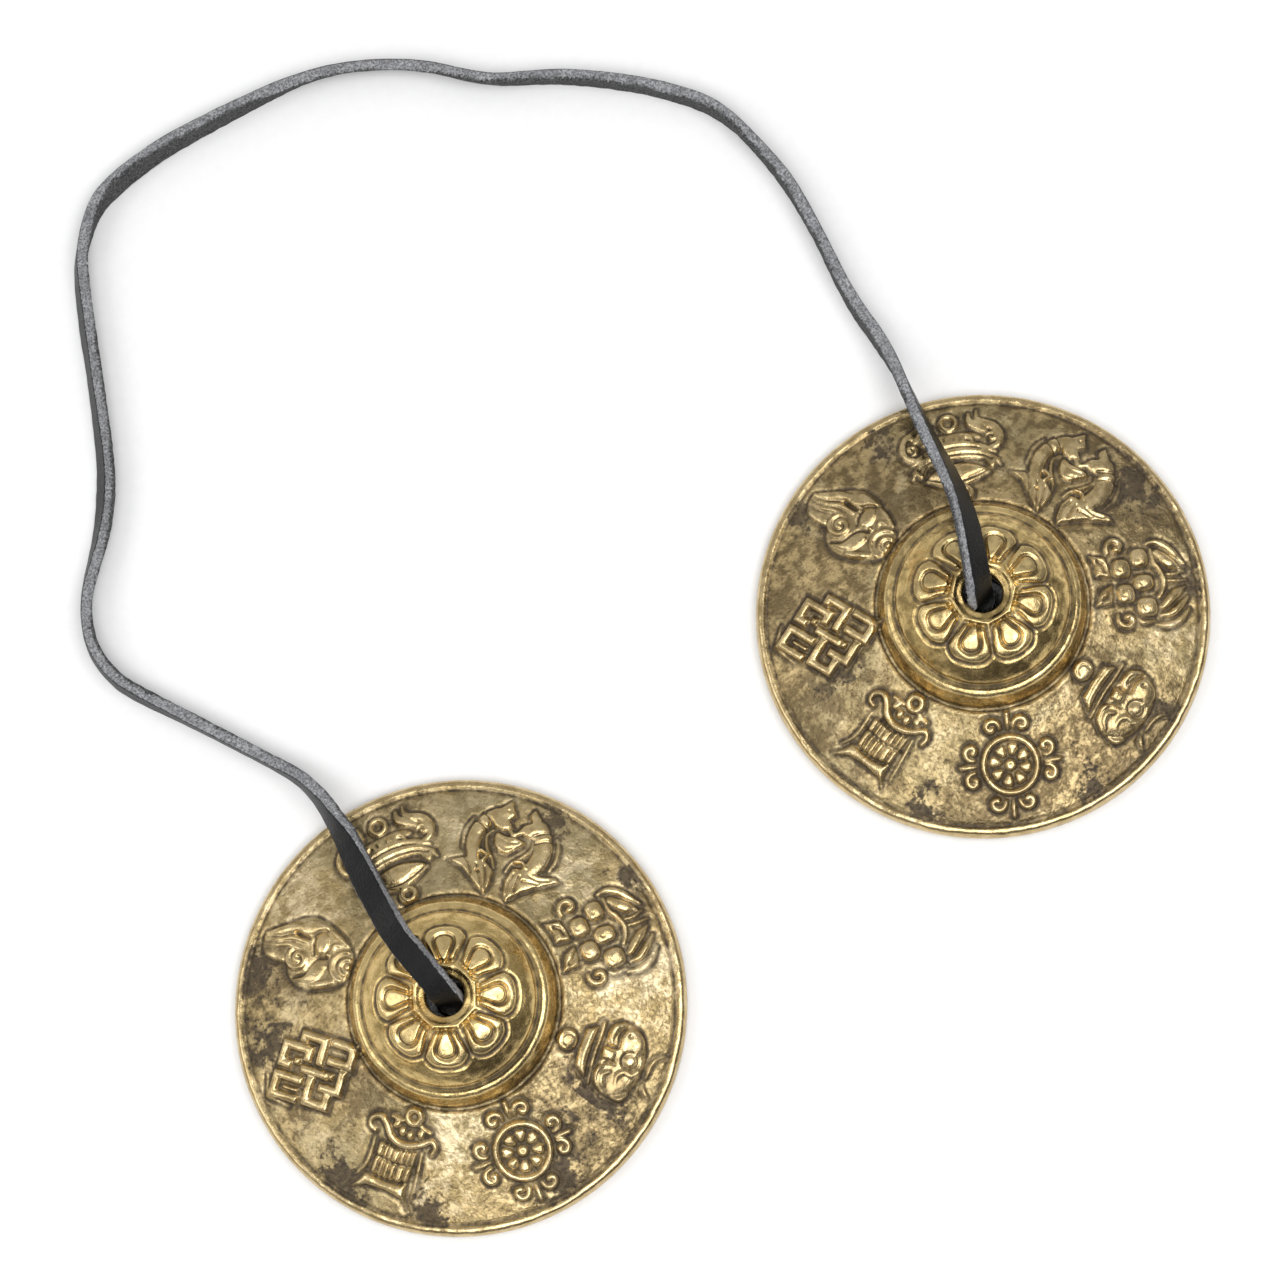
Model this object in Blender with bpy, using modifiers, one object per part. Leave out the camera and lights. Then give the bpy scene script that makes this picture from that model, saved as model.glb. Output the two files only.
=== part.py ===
"""A tingsha: two small cast cymbals joined by a flat leather strap.

Each end of the strap goes down through the hole in a cymbal's hub and is held there by a knot
inside the bell. Both cymbals lie on their rims, and the strap lies in a loose loop behind them.
Metres, +Z up, origin on the floor midway between the two hubs, +X from the left to the right one.
"""

import math

import bmesh
import bpy
from mathutils import Matrix, Vector

MM = 0.001

# Whole pair
CYMBAL_DIAMETER = 65.0 * MM
HUB_SPACING = 93.4 * MM

# Rim
RIM_THICKNESS = 3.0 * MM
RIM_EDGE_ROUND = 0.9 * MM
RIM_BAND_WIDTH = 1.4 * MM
RIM_GROOVE_DEPTH = 0.2 * MM
REST_FACE_WIDTH = 1.7 * MM

# Sloping field between the rim and the ring
FIELD_SLOPE = math.radians(17.9)

# Bulging ring round the foot of the dome, and the groove outside it
RING_INSET = 0.5 * MM
RING_WIDTH = 2.0 * MM
RING_BULGE = 0.45 * MM
RING_GROOVE_WIDTH = 0.3 * MM
RING_GROOVE_DEPTH = 0.15 * MM

# Dome, whose section is a squared ellipse, and the bell inside it
DOME_RADIUS = 13.4 * MM
DOME_RISE = 8.8 * MM
DOME_FOOT_LIFT = 0.45 * MM
DOME_POWER = 2.4
DOME_SIDE_WALL = 2.2 * MM
HUB_WALL = 3.1 * MM
BELL_LIP_ROUND = 0.7 * MM

# Strap
STRAP_WIDTH = 3.8 * MM
STRAP_THICKNESS = 1.7 * MM
STRAP_STATIONS = 78
BEND_RADIUS = 3.2 * MM
STRAP_OVER_HUB = 1.15 * MM
PIECE_GAP = 0.3 * MM

# Hole through the hub, wider than the strap by its play, and its flared mouth
HOLE_PLAY = 1.7 * MM
HOLE_MOUTH_FLARE = 1.15 * MM
HOLE_MOUTH_DEPTH = 1.3 * MM

# Stopper knots inside the bells
KNOT_OVERHANG = 1.85 * MM
KNOT_DEPTH = 8.4 * MM
KNOT_HEIGHT = 7.2 * MM
KNOT_GAP = 0.4 * MM
TAIL_END_HEIGHT = 1.9 * MM
TAIL_LEAN = math.radians(18.0)

# How each end of the strap leaves its hole: the side of the pair that the cymbal is on, the
# heading of the strap seen from above, and how far it lies off the hole's middle, along its
# heading and to the left of it, as shares of the play.
STRAP_ENDS = {
    "left": {"side": -1, "heading": math.radians(90.0), "along": -0.35, "aside": -0.12},
    "right": {"side": 1, "heading": math.radians(62.0), "along": -0.30, "aside": 0.24},
}

# The strap's route from the left bend to the right one: x, y and z of its middle in millimetres,
# and its lean in degrees, 0 where it stands on edge and 90 where its smooth side faces up.
STRAP_ROUTE = [
    (-46.7, 5.6, 18.9, 76), (-47.1, 10.6, 17.2, 73), (-46.9, 15.9, 13.5, 72),
    (-46.3, 22.2, 9.9, 66), (-45.5, 28.2, 7.3, 47), (-45.3, 32.0, 5.9, 29),
    (-45.3, 36.2, 4.4, 17), (-46.1, 40.6, 3.0, 9), (-48.2, 45.6, 2.1, 3),
    (-53.0, 55.6, 2.0, 3), (-58.2, 66.1, 2.0, 10), (-59.4, 70.3, 2.0, 10),
    (-59.4, 74.4, 2.1, 12), (-58.0, 78.4, 2.1, 13), (-55.2, 82.4, 2.1, 17),
    (-48.8, 88.1, 2.1, 29), (-45.0, 92.4, 2.1, 34), (-41.5, 97.6, 2.1, 30),
    (-35.8, 108.4, 2.1, 24), (-32.2, 115.7, 2.1, 26), (-28.4, 122.7, 2.1, 22),
    (-25.6, 126.4, 2.1, 16), (-20.9, 130.1, 2.0, 4), (-16.1, 131.5, 2.0, -7),
    (-7.9, 131.7, 2.0, -5), (0.7, 130.6, 2.0, 0), (9.7, 129.0, 2.0, 8),
    (16.1, 127.4, 2.1, 19), (22.0, 124.9, 2.1, 22), (28.1, 120.8, 2.1, 21),
    (32.6, 116.6, 2.1, 19), (36.2, 112.1, 2.1, 17), (39.8, 108.5, 2.1, 15),
    (47.4, 103.0, 2.0, 8), (55.1, 95.4, 2.0, 4), (60.3, 88.5, 2.0, 0),
    (62.5, 83.8, 2.0, 2), (63.5, 78.4, 2.0, 5), (63.8, 69.4, 2.0, -2),
    (62.6, 60.5, 2.0, 2), (60.8, 51.8, 2.0, -2), (60.1, 46.8, 2.1, -4),
    (59.7, 41.7, 2.7, -4), (59.0, 36.9, 3.8, 2), (57.6, 31.6, 5.4, 9),
    (56.2, 26.3, 7.4, 15), (54.8, 20.4, 9.9, 22), (53.4, 15.2, 13.2, 32),
    (51.6, 10.6, 16.8, 47), (49.7, 6.7, 18.8, 64),
]

# Fineness of the round shapes and of the strap's path, and how close corners are welded
TURN_STEPS = 72
DOME_STEPS = 9
BELL_STEPS = 8
RING_STEPS = 4
EDGE_STEPS = 6
BEND_STEPS = 6
KNOT_SEGMENTS = 20
KNOT_RINGS = 12
STRAP_EDGE_STEPS = 2
ROUTE_STEPS = 20
SMOOTH_ANGLE = math.radians(40.0)
WELD = 0.01 * MM

# Places that follow from the sizes
RIM_RADIUS = CYMBAL_DIAMETER / 2
HOLE_RADIUS = (STRAP_WIDTH + HOLE_PLAY) / 2
MOUTH_RADIUS = HOLE_RADIUS + HOLE_MOUTH_FLARE
KNOT_RADIUS = HOLE_RADIUS + KNOT_OVERHANG
RING_INNER_RADIUS = DOME_RADIUS - RING_INSET
RING_OUTER_RADIUS = RING_INNER_RADIUS + RING_WIDTH
FIELD_INNER_RADIUS = RING_OUTER_RADIUS + RING_GROOVE_WIDTH
FIELD_RADIUS = RIM_RADIUS - RIM_BAND_WIDTH
FIELD_FOOT = RIM_THICKNESS - RIM_GROOVE_DEPTH
FIELD_TOP = FIELD_FOOT + (FIELD_RADIUS - FIELD_INNER_RADIUS) * math.tan(FIELD_SLOPE)
DOME_FOOT = FIELD_TOP + DOME_FOOT_LIFT
BELL_RADIUS = DOME_RADIUS - DOME_SIDE_WALL
REST_INNER_RADIUS = RIM_RADIUS - RIM_EDGE_ROUND - REST_FACE_WIDTH


def clear_scene():
    """Remove every object from the open file."""
    for thing in list(bpy.data.objects):
        bpy.data.objects.remove(thing, do_unlink=True)


def make_collection(name):
    """Make a collection in the scene."""
    collection = bpy.data.collections.new(name)
    bpy.context.scene.collection.children.link(collection)
    return collection


def make_material(name, colour, roughness, metallic):
    """Make a plain Principled material."""
    material = bpy.data.materials.new(name)
    material.use_nodes = True
    shader = material.node_tree.nodes["Principled BSDF"]
    shader.inputs["Base Color"].default_value = (*colour, 1.0)
    shader.inputs["Roughness"].default_value = roughness
    shader.inputs["Metallic"].default_value = metallic
    material.diffuse_color = (*colour, 1.0)
    return material


def squared_ellipse(radius, rise, angle, power):
    """Point at an angle from the axis on a squared quarter ellipse."""
    reach = radius * math.sin(angle) ** (2 / power)
    height = rise * math.cos(angle) ** (2 / power)
    return reach, height


def squared_height(radius, rise, reach, power):
    """Height of a squared quarter ellipse at a distance from the axis."""
    return rise * (1 - (reach / radius) ** power) ** (1 / power)


def squared_angle(radius, reach, power):
    """Angle at which a squared quarter ellipse has a given distance from the axis."""
    return math.asin((reach / radius) ** (power / 2))


def dome_height(reach):
    """Height of the dome's outer face above the floor."""
    return DOME_FOOT + squared_height(DOME_RADIUS, DOME_RISE, reach, DOME_POWER)


HUB_TOP = dome_height(MOUTH_RADIUS)
HUB_UNDERSIDE = DOME_FOOT + DOME_RISE - HUB_WALL
STRAP_TOP = HUB_TOP + STRAP_OVER_HUB + STRAP_THICKNESS / 2
KNOT_MIDDLE = HUB_UNDERSIDE - KNOT_GAP - KNOT_HEIGHT / 2


def dome_outline():
    """Points of the dome's outer face, from the hole's mouth out to the ring."""
    first = squared_angle(DOME_RADIUS, MOUTH_RADIUS, DOME_POWER)
    last = squared_angle(DOME_RADIUS, RING_INNER_RADIUS, DOME_POWER)
    points = []
    for step in range(DOME_STEPS + 1):
        angle = first + (last - first) * step / DOME_STEPS
        reach, height = squared_ellipse(DOME_RADIUS, DOME_RISE, angle, DOME_POWER)
        points.append((reach, DOME_FOOT + height))
    return points


def ring_outline(start):
    """Points of the bulging ring between its two grooves, from the dome down to the field."""
    end = (RING_OUTER_RADIUS, FIELD_TOP - RING_GROOVE_DEPTH)
    run = end[0] - start[0]
    drop = end[1] - start[1]
    length = math.hypot(run, drop)
    points = []
    for step in range(1, RING_STEPS):
        share = step / RING_STEPS
        swell = RING_BULGE * 4 * share * (1 - share)
        reach = start[0] + run * share - drop / length * swell
        height = start[1] + drop * share + run / length * swell
        points.append((reach, height))
    points.append(end)
    return points


def rim_outline():
    """Points of the rounded edge, from the top of the rim band to the flat underside."""
    centre = RIM_RADIUS - RIM_EDGE_ROUND
    half = RIM_THICKNESS / 2
    points = [(FIELD_RADIUS + RIM_GROOVE_DEPTH, RIM_THICKNESS)]
    for step in range(EDGE_STEPS + 1):
        angle = math.radians(90 - 180 * step / EDGE_STEPS)
        points.append((centre + RIM_EDGE_ROUND * math.cos(angle), half + half * math.sin(angle)))
    return points


def underside_height(reach):
    """Height of the field's underside at a distance from the axis."""
    return (REST_INNER_RADIUS - reach) * math.tan(FIELD_SLOPE)


def bell_outline():
    """Points of the bell inside the dome, from its lip up to the hole."""
    foot = underside_height(BELL_RADIUS)
    lip_out = BELL_RADIUS + BELL_LIP_ROUND
    rise = HUB_UNDERSIDE - foot
    first = math.acos((BELL_LIP_ROUND / rise) ** (DOME_POWER / 2))
    last = squared_angle(BELL_RADIUS, HOLE_RADIUS, DOME_POWER)
    points = [(lip_out, underside_height(lip_out))]
    for step in range(BELL_STEPS + 1):
        angle = first + (last - first) * step / BELL_STEPS
        reach, height = squared_ellipse(BELL_RADIUS, rise, angle, DOME_POWER)
        points.append((reach, foot + height))
    return points


def cymbal_outline():
    """The closed section of a cymbal: down its outside, in under the rim and up inside the bell."""
    dome = dome_outline()
    points = [(HOLE_RADIUS, HUB_TOP - HOLE_MOUTH_DEPTH)]
    points += dome
    points += ring_outline(dome[-1])
    points.append((FIELD_INNER_RADIUS, FIELD_TOP))
    points.append((FIELD_RADIUS, FIELD_FOOT))
    points += rim_outline()
    points.append((REST_INNER_RADIUS, 0.0))
    points += bell_outline()
    return points


def place(thing, collection, material):
    """Put an object in its collection, with its material."""
    collection.objects.link(thing)
    thing.data.materials.append(material)
    return thing


def make_cymbal(name, hub_x, collection, material):
    """Turn the section round the hub's axis."""
    mesh = bpy.data.meshes.new(name)
    section = bmesh.new()
    corners = [section.verts.new((reach, 0.0, height)) for reach, height in cymbal_outline()]
    for number, corner in enumerate(corners):
        section.edges.new((corner, corners[(number + 1) % len(corners)]))
    section.to_mesh(mesh)
    section.free()
    cymbal = place(bpy.data.objects.new(name, mesh), collection, material)
    cymbal.location = (hub_x, 0.0, 0.0)
    turn = cymbal.modifiers.new("turn", "SCREW")
    turn.axis = "Z"
    turn.steps = TURN_STEPS
    turn.render_steps = TURN_STEPS
    turn.use_merge_vertices = True
    turn.merge_threshold = WELD
    turn.use_smooth_shade = True
    return cymbal


def flat_section(curve):
    """Give a curve the strap's section, flat with round edges."""
    curve.extrude = (STRAP_WIDTH - STRAP_THICKNESS) / 2
    curve.bevel_depth = STRAP_THICKNESS / 2
    curve.bevel_resolution = STRAP_EDGE_STEPS
    curve.use_fill_caps = True


def make_flat_run(name, points, frame, collection, material):
    """A stretch of strap whose path lies in the upright plane of a frame."""
    curve = bpy.data.curves.new(name, "CURVE")
    curve.dimensions = "2D"
    curve.fill_mode = "NONE"
    flat_section(curve)
    spline = curve.splines.new("POLY")
    spline.points.add(len(points) - 1)
    for point, (reach, height) in zip(spline.points, points):
        point.co = (reach, height, 0.0, 1.0)
    spline.use_smooth = True
    run = place(bpy.data.objects.new(name, curve), collection, material)
    run.matrix_world = frame
    return run


def smooth_path(route, stations):
    """Even stations on a smooth curve through the route's points."""
    dense = []
    for number in range(len(route) - 1):
        before = route[max(number - 1, 0)]
        start = route[number]
        end = route[number + 1]
        after = route[min(number + 2, len(route) - 1)]
        for step in range(ROUTE_STEPS):
            share = step / ROUTE_STEPS
            pull = -before + 3 * start - 3 * end + after
            ease = 2 * before - 5 * start + 4 * end - after
            dense.append(0.5 * (2 * start + (end - before) * share + ease * share**2 + pull * share**3))
    dense.append(route[-1])
    reached = [0.0]
    for start, end in zip(dense, dense[1:]):
        reached.append(reached[-1] + (end.xyz - start.xyz).length)
    path = []
    number = 0
    for station in range(stations):
        target = reached[-1] * station / (stations - 1)
        while number < len(dense) - 2 and reached[number + 1] < target:
            number += 1
        share = (target - reached[number]) / (reached[number + 1] - reached[number])
        path.append(dense[number].lerp(dense[number + 1], share))
    return path, reached[-1]


class StrapEnd:
    """Where one end of the strap goes down through its cymbal's hole."""

    def __init__(self, end):
        heading = Vector((math.cos(end["heading"]), math.sin(end["heading"]), 0.0))
        left = Vector((-heading.y, heading.x, 0.0))
        self.hub_x = end["side"] * HUB_SPACING / 2
        self.foot = Vector((self.hub_x, 0.0, 0.0))
        self.foot += heading * end["along"] * HOLE_PLAY + left * end["aside"] * HOLE_PLAY
        self.heading = heading
        self.pivot = self.foot + Vector((0.0, 0.0, STRAP_TOP))
        self.frame = Matrix.Translation(self.foot) @ Matrix(
            (
                (heading.x, 0.0, heading.y, 0.0),
                (heading.y, 0.0, -heading.x, 0.0),
                (0.0, 1.0, 0.0, 0.0),
                (0.0, 0.0, 0.0, 1.0),
            )
        )

    def start(self):
        """Where the free strap begins, just past the bend."""
        return self.pivot + self.heading * (BEND_RADIUS + PIECE_GAP)


def make_strap(ends, collection, material):
    """The strap's free run, from just past one bend to just past the other."""
    left = ends["left"].start()
    right = ends["right"].start()
    flat = 90.0
    route = [Vector((*left, flat))]
    for x, y, z, lean in STRAP_ROUTE:
        route.append(Vector((x * MM, y * MM, z * MM, lean)))
    route.append(Vector((*right, flat)))
    path, length = smooth_path(route, STRAP_STATIONS)
    curve = bpy.data.curves.new("strap", "CURVE")
    curve.dimensions = "3D"
    curve.twist_mode = "Z_UP"
    flat_section(curve)
    spline = curve.splines.new("POLY")
    spline.points.add(len(path) - 1)
    for point, station in zip(spline.points, path):
        point.co = (station.x, station.y, station.z, 1.0)
        point.tilt = math.radians(station.w)
    spline.use_smooth = True
    print(f"free strap {length / MM:.1f} mm")
    return place(bpy.data.objects.new("strap", curve), collection, material)


def make_bend(side, end, collection, material):
    """The quarter turn where the strap goes over the hub and down into the hole."""
    centre_height = STRAP_TOP - BEND_RADIUS
    points = []
    for step in range(BEND_STEPS + 1):
        angle = math.radians(90) * step / BEND_STEPS
        reach = BEND_RADIUS * (1 - math.cos(angle))
        points.append((reach, centre_height + BEND_RADIUS * math.sin(angle)))
    return make_flat_run(f"strap_bend_{side}", points, end.frame, collection, material)


def make_neck(side, end, collection, material):
    """The straight bit of strap inside the hole, between the bend and the knot."""
    bottom = HUB_UNDERSIDE - KNOT_GAP + PIECE_GAP
    top = STRAP_TOP - BEND_RADIUS - PIECE_GAP
    points = [(0.0, bottom), (0.0, top)]
    return make_flat_run(f"strap_neck_{side}", points, end.frame, collection, material)


def make_tail(side, end, cutters, material):
    """The strap's cut end under the knot, as a closed mesh that the knot is joined with."""
    reach = -(KNOT_MIDDLE - TAIL_END_HEIGHT) * math.tan(TAIL_LEAN)
    points = [(0.0, KNOT_MIDDLE), (reach, TAIL_END_HEIGHT)]
    curve = make_flat_run(f"tail_curve_{side}", points, end.frame, cutters, material)
    bpy.context.view_layer.update()
    evaluated = curve.evaluated_get(bpy.context.evaluated_depsgraph_get())
    mesh = bpy.data.meshes.new_from_object(evaluated)
    welded = bmesh.new()
    welded.from_mesh(mesh)
    bmesh.ops.remove_doubles(welded, verts=welded.verts, dist=WELD)
    welded.to_mesh(mesh)
    welded.free()
    tail = bpy.data.objects.new(f"tail_{side}", mesh)
    tail.matrix_world = curve.matrix_world
    cutters.objects.link(tail)
    tail.hide_render = True
    tail.display_type = "WIRE"
    bpy.data.objects.remove(curve, do_unlink=True)
    return tail


def make_knot(side, end, collection, cutters, material):
    """The stopper knot under the hub, a rounded lump with the strap's tail hanging from it."""
    mesh = bpy.data.meshes.new(f"knot_{side}")
    lump = bmesh.new()
    bmesh.ops.create_uvsphere(lump, u_segments=KNOT_SEGMENTS, v_segments=KNOT_RINGS, radius=1.0)
    bmesh.ops.scale(lump, vec=(KNOT_DEPTH / 2, KNOT_RADIUS, KNOT_HEIGHT / 2), verts=lump.verts)
    lump.to_mesh(mesh)
    lump.free()
    knot = place(bpy.data.objects.new(f"knot_{side}", mesh), collection, material)
    turn = Matrix.Rotation(math.atan2(end.heading.y, end.heading.x), 4, "Z")
    knot.matrix_world = Matrix.Translation(end.foot + Vector((0.0, 0.0, KNOT_MIDDLE))) @ turn
    join = knot.modifiers.new("tail", "BOOLEAN")
    join.operation = "UNION"
    join.solver = "EXACT"
    join.object = make_tail(side, end, cutters, material)
    mesh.shade_smooth()
    mesh.set_sharp_from_angle(angle=SMOOTH_ANGLE)
    return knot


def make_joint(name, place_at, axis, collection):
    """An empty whose own Z lies along a joint's axis."""
    joint = bpy.data.objects.new(name, None)
    joint.empty_display_size = STRAP_TOP
    joint.matrix_world = Matrix.Translation(place_at) @ axis.to_track_quat("Z", "Y").to_matrix().to_4x4()
    collection.objects.link(joint)
    return joint


def hang_on(child, parent):
    """Parent an object where it stands."""
    bpy.context.view_layer.update()
    child.parent = parent
    child.matrix_parent_inverse = parent.matrix_world.inverted()


def build():
    """Make the pair of cymbals, the strap and the knots."""
    clear_scene()
    parts = make_collection("tingsha")
    cutters = make_collection("cutters")
    brass = make_material("cast_brass", (0.42, 0.31, 0.13), 0.36, 1.0)
    leather = make_material("black_leather", (0.035, 0.034, 0.036), 0.6, 0.0)
    ends = {side: StrapEnd(values) for side, values in STRAP_ENDS.items()}
    make_strap(ends, parts, leather)
    for side, end in ends.items():
        up = Vector((0.0, 0.0, 1.0))
        tilt = make_joint(f"tilt_{side}", end.pivot, up.cross(end.heading), parts)
        spin = make_joint(f"spin_{side}", Vector((end.hub_x, 0.0, 0.0)), up, parts)
        make_bend(side, end, parts, leather)
        hang_on(make_neck(side, end, parts, leather), tilt)
        hang_on(make_knot(side, end, parts, cutters, leather), tilt)
        hang_on(spin, tilt)
        hang_on(make_cymbal(f"cymbal_{side}", end.hub_x, parts, brass), spin)
        print(f"{side} tilt axis {tuple(round(c, 4) for c in up.cross(end.heading))}")
        print(f"{side} tilt pivot {tuple(round(c, 5) for c in end.pivot)}")
    print(f"hub top {HUB_TOP / MM:.2f} mm, underside {HUB_UNDERSIDE / MM:.2f} mm")


build()
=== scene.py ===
# %% [markdown]
# # A pair of tingsha
# Tingsha are two small, thick cymbals, cast in brass and joined by one leather strap. They are
# held by the strap and struck edge to edge. Here both lie on their rims, with the strap in a
# loose loop behind them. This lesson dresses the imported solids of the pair: it loads them as a
# fixed frame, lays a real strap along the frame's route, turns and carves the two castings, and
# mixes the materials. Everything is in metres in that frame, and lengths that are easier to
# read in millimetres are multiplied by MM.

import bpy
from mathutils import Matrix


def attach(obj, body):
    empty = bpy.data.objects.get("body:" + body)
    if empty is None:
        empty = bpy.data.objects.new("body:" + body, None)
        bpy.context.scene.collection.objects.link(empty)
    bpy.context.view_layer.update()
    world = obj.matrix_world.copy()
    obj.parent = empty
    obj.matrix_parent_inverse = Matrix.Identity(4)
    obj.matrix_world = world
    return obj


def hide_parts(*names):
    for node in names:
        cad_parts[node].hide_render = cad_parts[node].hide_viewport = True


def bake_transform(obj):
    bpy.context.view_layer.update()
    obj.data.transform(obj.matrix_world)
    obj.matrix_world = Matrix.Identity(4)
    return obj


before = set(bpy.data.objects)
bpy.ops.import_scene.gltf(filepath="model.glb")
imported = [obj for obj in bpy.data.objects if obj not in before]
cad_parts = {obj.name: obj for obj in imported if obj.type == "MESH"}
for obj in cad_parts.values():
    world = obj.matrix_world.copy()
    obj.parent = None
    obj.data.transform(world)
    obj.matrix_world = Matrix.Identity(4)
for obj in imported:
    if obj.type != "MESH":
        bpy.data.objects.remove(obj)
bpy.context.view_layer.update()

# %% Tools and the size of the solids
import math

import bmesh
import bpy
import numpy as np
from mathutils import Matrix, Vector, noise

MM = 0.001

# %% [markdown]
# ## The camera
# The pair is seen from nearly straight above, from half a metre away. Such a view is set most
# surely from three vectors: where the camera stands, where it looks, and which way is up in the
# picture. The two cross products make them square to each other, and the long lens keeps the
# far cymbal almost as large as the near one.

# %% Camera
CAMERA_PLACE = Vector((-16.926, -76.291, 489.831)) * MM
CAMERA_LOOK = Vector((0.04411004, 0.20974524, -0.97676058))
CAMERA_UP = Vector((0.597647, 0.7779251, 0.19403765))
LENS = 98.18

right = CAMERA_LOOK.cross(CAMERA_UP).normalized()
up = right.cross(CAMERA_LOOK).normalized()
turn = Matrix((right, up, -CAMERA_LOOK)).transposed().to_4x4()
camera = bpy.data.objects.new("camera", bpy.data.cameras.new("camera"))
camera.data.lens = LENS
camera.data.sensor_width = 36.0
camera.matrix_world = Matrix.Translation(CAMERA_PLACE) @ turn
bpy.context.scene.collection.objects.link(camera)
bpy.context.scene.camera = camera
print("camera height, mm:", round(camera.location.z / MM))

# %% [markdown]
# ## The strap's route
# The strap is one flat lace of leather, 3.8 mm wide and 1.7 mm thick. It comes up through the
# left hole, bends over the hub, runs down to the floor, lies on edge in a loose loop, climbs the
# right cymbal and goes down through its hole. A flat strap needs more than a line of points:
# each one also has a lean, which says how far its smooth side is turned up from standing on
# edge. These are the points of the solid strap, so that both lie in the same place, and a
# smooth curve runs through them.

# %% Route
STRAP_WIDTH = 3.8 * MM
STRAP_THICKNESS = 1.7 * MM
STRAP_ROUTE = [
    (-46.7, 5.6, 18.9, 66), (-47.1, 10.6, 17.2, 68), (-46.9, 15.9, 13.5, 70),
    (-46.3, 22.2, 9.9, 66), (-45.5, 28.2, 7.3, 47), (-45.3, 32.0, 5.9, 29),
    (-45.3, 36.2, 4.4, 17), (-46.1, 40.6, 3.0, 9), (-48.2, 45.6, 2.1, 3),
    (-53.0, 55.6, 2.0, 3), (-58.2, 66.1, 2.0, 10), (-59.4, 70.3, 2.0, 10),
    (-59.4, 74.4, 2.1, 12), (-58.0, 78.4, 2.1, 13), (-55.2, 82.4, 2.1, 17),
    (-48.8, 88.1, 2.1, 29), (-45.0, 92.4, 2.1, 34), (-41.5, 97.6, 2.1, 30),
    (-35.8, 108.4, 2.1, 24), (-32.2, 115.7, 2.1, 26), (-28.4, 122.7, 2.1, 22),
    (-25.6, 126.4, 2.1, 16), (-20.9, 130.1, 2.0, 4), (-16.1, 131.5, 2.0, -7),
    (-7.9, 131.7, 2.0, -5), (0.7, 130.6, 2.0, 0), (9.7, 129.0, 2.0, 8),
    (16.1, 127.4, 2.1, 19), (22.0, 124.9, 2.1, 22), (28.1, 120.8, 2.1, 21),
    (32.6, 116.6, 2.1, 19), (36.2, 112.1, 2.1, 17), (39.8, 108.5, 2.1, 15),
    (47.4, 103.0, 2.0, 8), (55.1, 95.4, 2.0, 4), (60.3, 88.5, 2.0, 0),
    (62.5, 83.8, 2.0, 2), (63.5, 78.4, 2.0, 5), (63.8, 69.4, 2.0, -2),
    (62.6, 60.5, 2.0, 2), (60.8, 51.8, 2.0, -2), (60.1, 46.8, 2.1, -4),
    (59.7, 41.7, 2.7, -4), (59.0, 36.9, 3.8, 2), (57.6, 31.6, 5.4, 9),
    (56.2, 26.3, 7.4, 15), (54.8, 20.4, 9.9, 22), (53.4, 15.2, 13.2, 30),
    (51.6, 10.6, 16.8, 38), (49.7, 6.7, 18.8, 43),
]
HOLES = {
    "left": {"foot": (-46.496, -0.595), "heading": 90.0, "lean": 64.0},
    "right": {"foot": (46.100, -0.259), "heading": 62.0, "lean": 45.0},
}
HUB_REACH = 46.7
PIVOT_HEIGHT = 18.993
BEND_RADIUS = 3.2
NECK_HEIGHT = 14.2
KNOT_MIDDLE = 10.09
print(len(STRAP_ROUTE), "points on the free run")

# %% Smooth lines
STEP = 0.4


def smooth_curve(points, closed=False, steps=8):
    """More points on a smooth curve through a few, in any number of dimensions."""
    points = np.array(points, float)
    count = len(points)
    curve = []
    for number in range(count if closed else count - 1):
        picks = np.arange(number - 1, number + 3)
        picks = picks % count if closed else np.clip(picks, 0, count - 1)
        before, start, end, after = points[picks]
        for share in np.arange(steps) / steps:
            ease = 2 * before - 5 * start + 4 * end - after
            pull = -before + 3 * start - 3 * end + after
            curve.append(start + 0.5 * ((end - before) * share + ease * share**2 + pull * share**3))
    curve.append(points[0] if closed else points[-1])
    return np.array(curve)


def even_steps(points, step):
    """The same line with its points an even step apart, and its length."""
    gaps = np.linalg.norm(np.diff(points[:, :3], axis=0), axis=1)
    way = np.concatenate([[0.0], np.cumsum(gaps)])
    stops = np.linspace(0.0, way[-1], int(round(way[-1] / step)) + 1)
    return np.stack([np.interp(stops, way, column) for column in points.T], 1), way[-1]


print("a smooth line through four points:", len(smooth_curve(STRAP_ROUTE[:4])), "points")

# %% [markdown]
# ## The bends and the knots
# Nothing fastens the strap but itself: under each hub it is tied in a knot that is too big for
# the hole, and its cut end hangs below. The knot can only be seen from underneath. It is drawn as
# the path that the fingers follow: down out of the hole, once round, under, and out as the tail.
# The points are written from the hole's middle line, along the strap's heading and across it, and
# both ends use the same list. A lean of None is the strap's own. The left end is walked the other
# way round, which turns its leans about.

# %% Ends of the strap
KNOT_PATH = [
    (0.0, 0.0, 1.9, None), (0.7, 0.3, 1.0, None), (2.1, 1.4, 0.6, 180), (2.0, 2.7, 0.5, 180),
    (0.0, 3.3, 0.3, 180), (-2.3, 2.3, 0.1, 180), (-3.2, 0.0, -0.1, 180), (-2.3, -2.4, -0.3, 180),
    (0.0, -3.2, -0.5, 180), (2.2, -2.4, -0.8, 176), (3.0, -0.4, -1.2, 165), (2.0, 1.2, -2.0, 140),
    (0.4, 0.7, -2.8, 115), (-0.9, 0.0, -3.9, 95), (-1.6, 0.0, -5.6, 90), (-2.6, 0.0, -8.1, 90),
]


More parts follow.
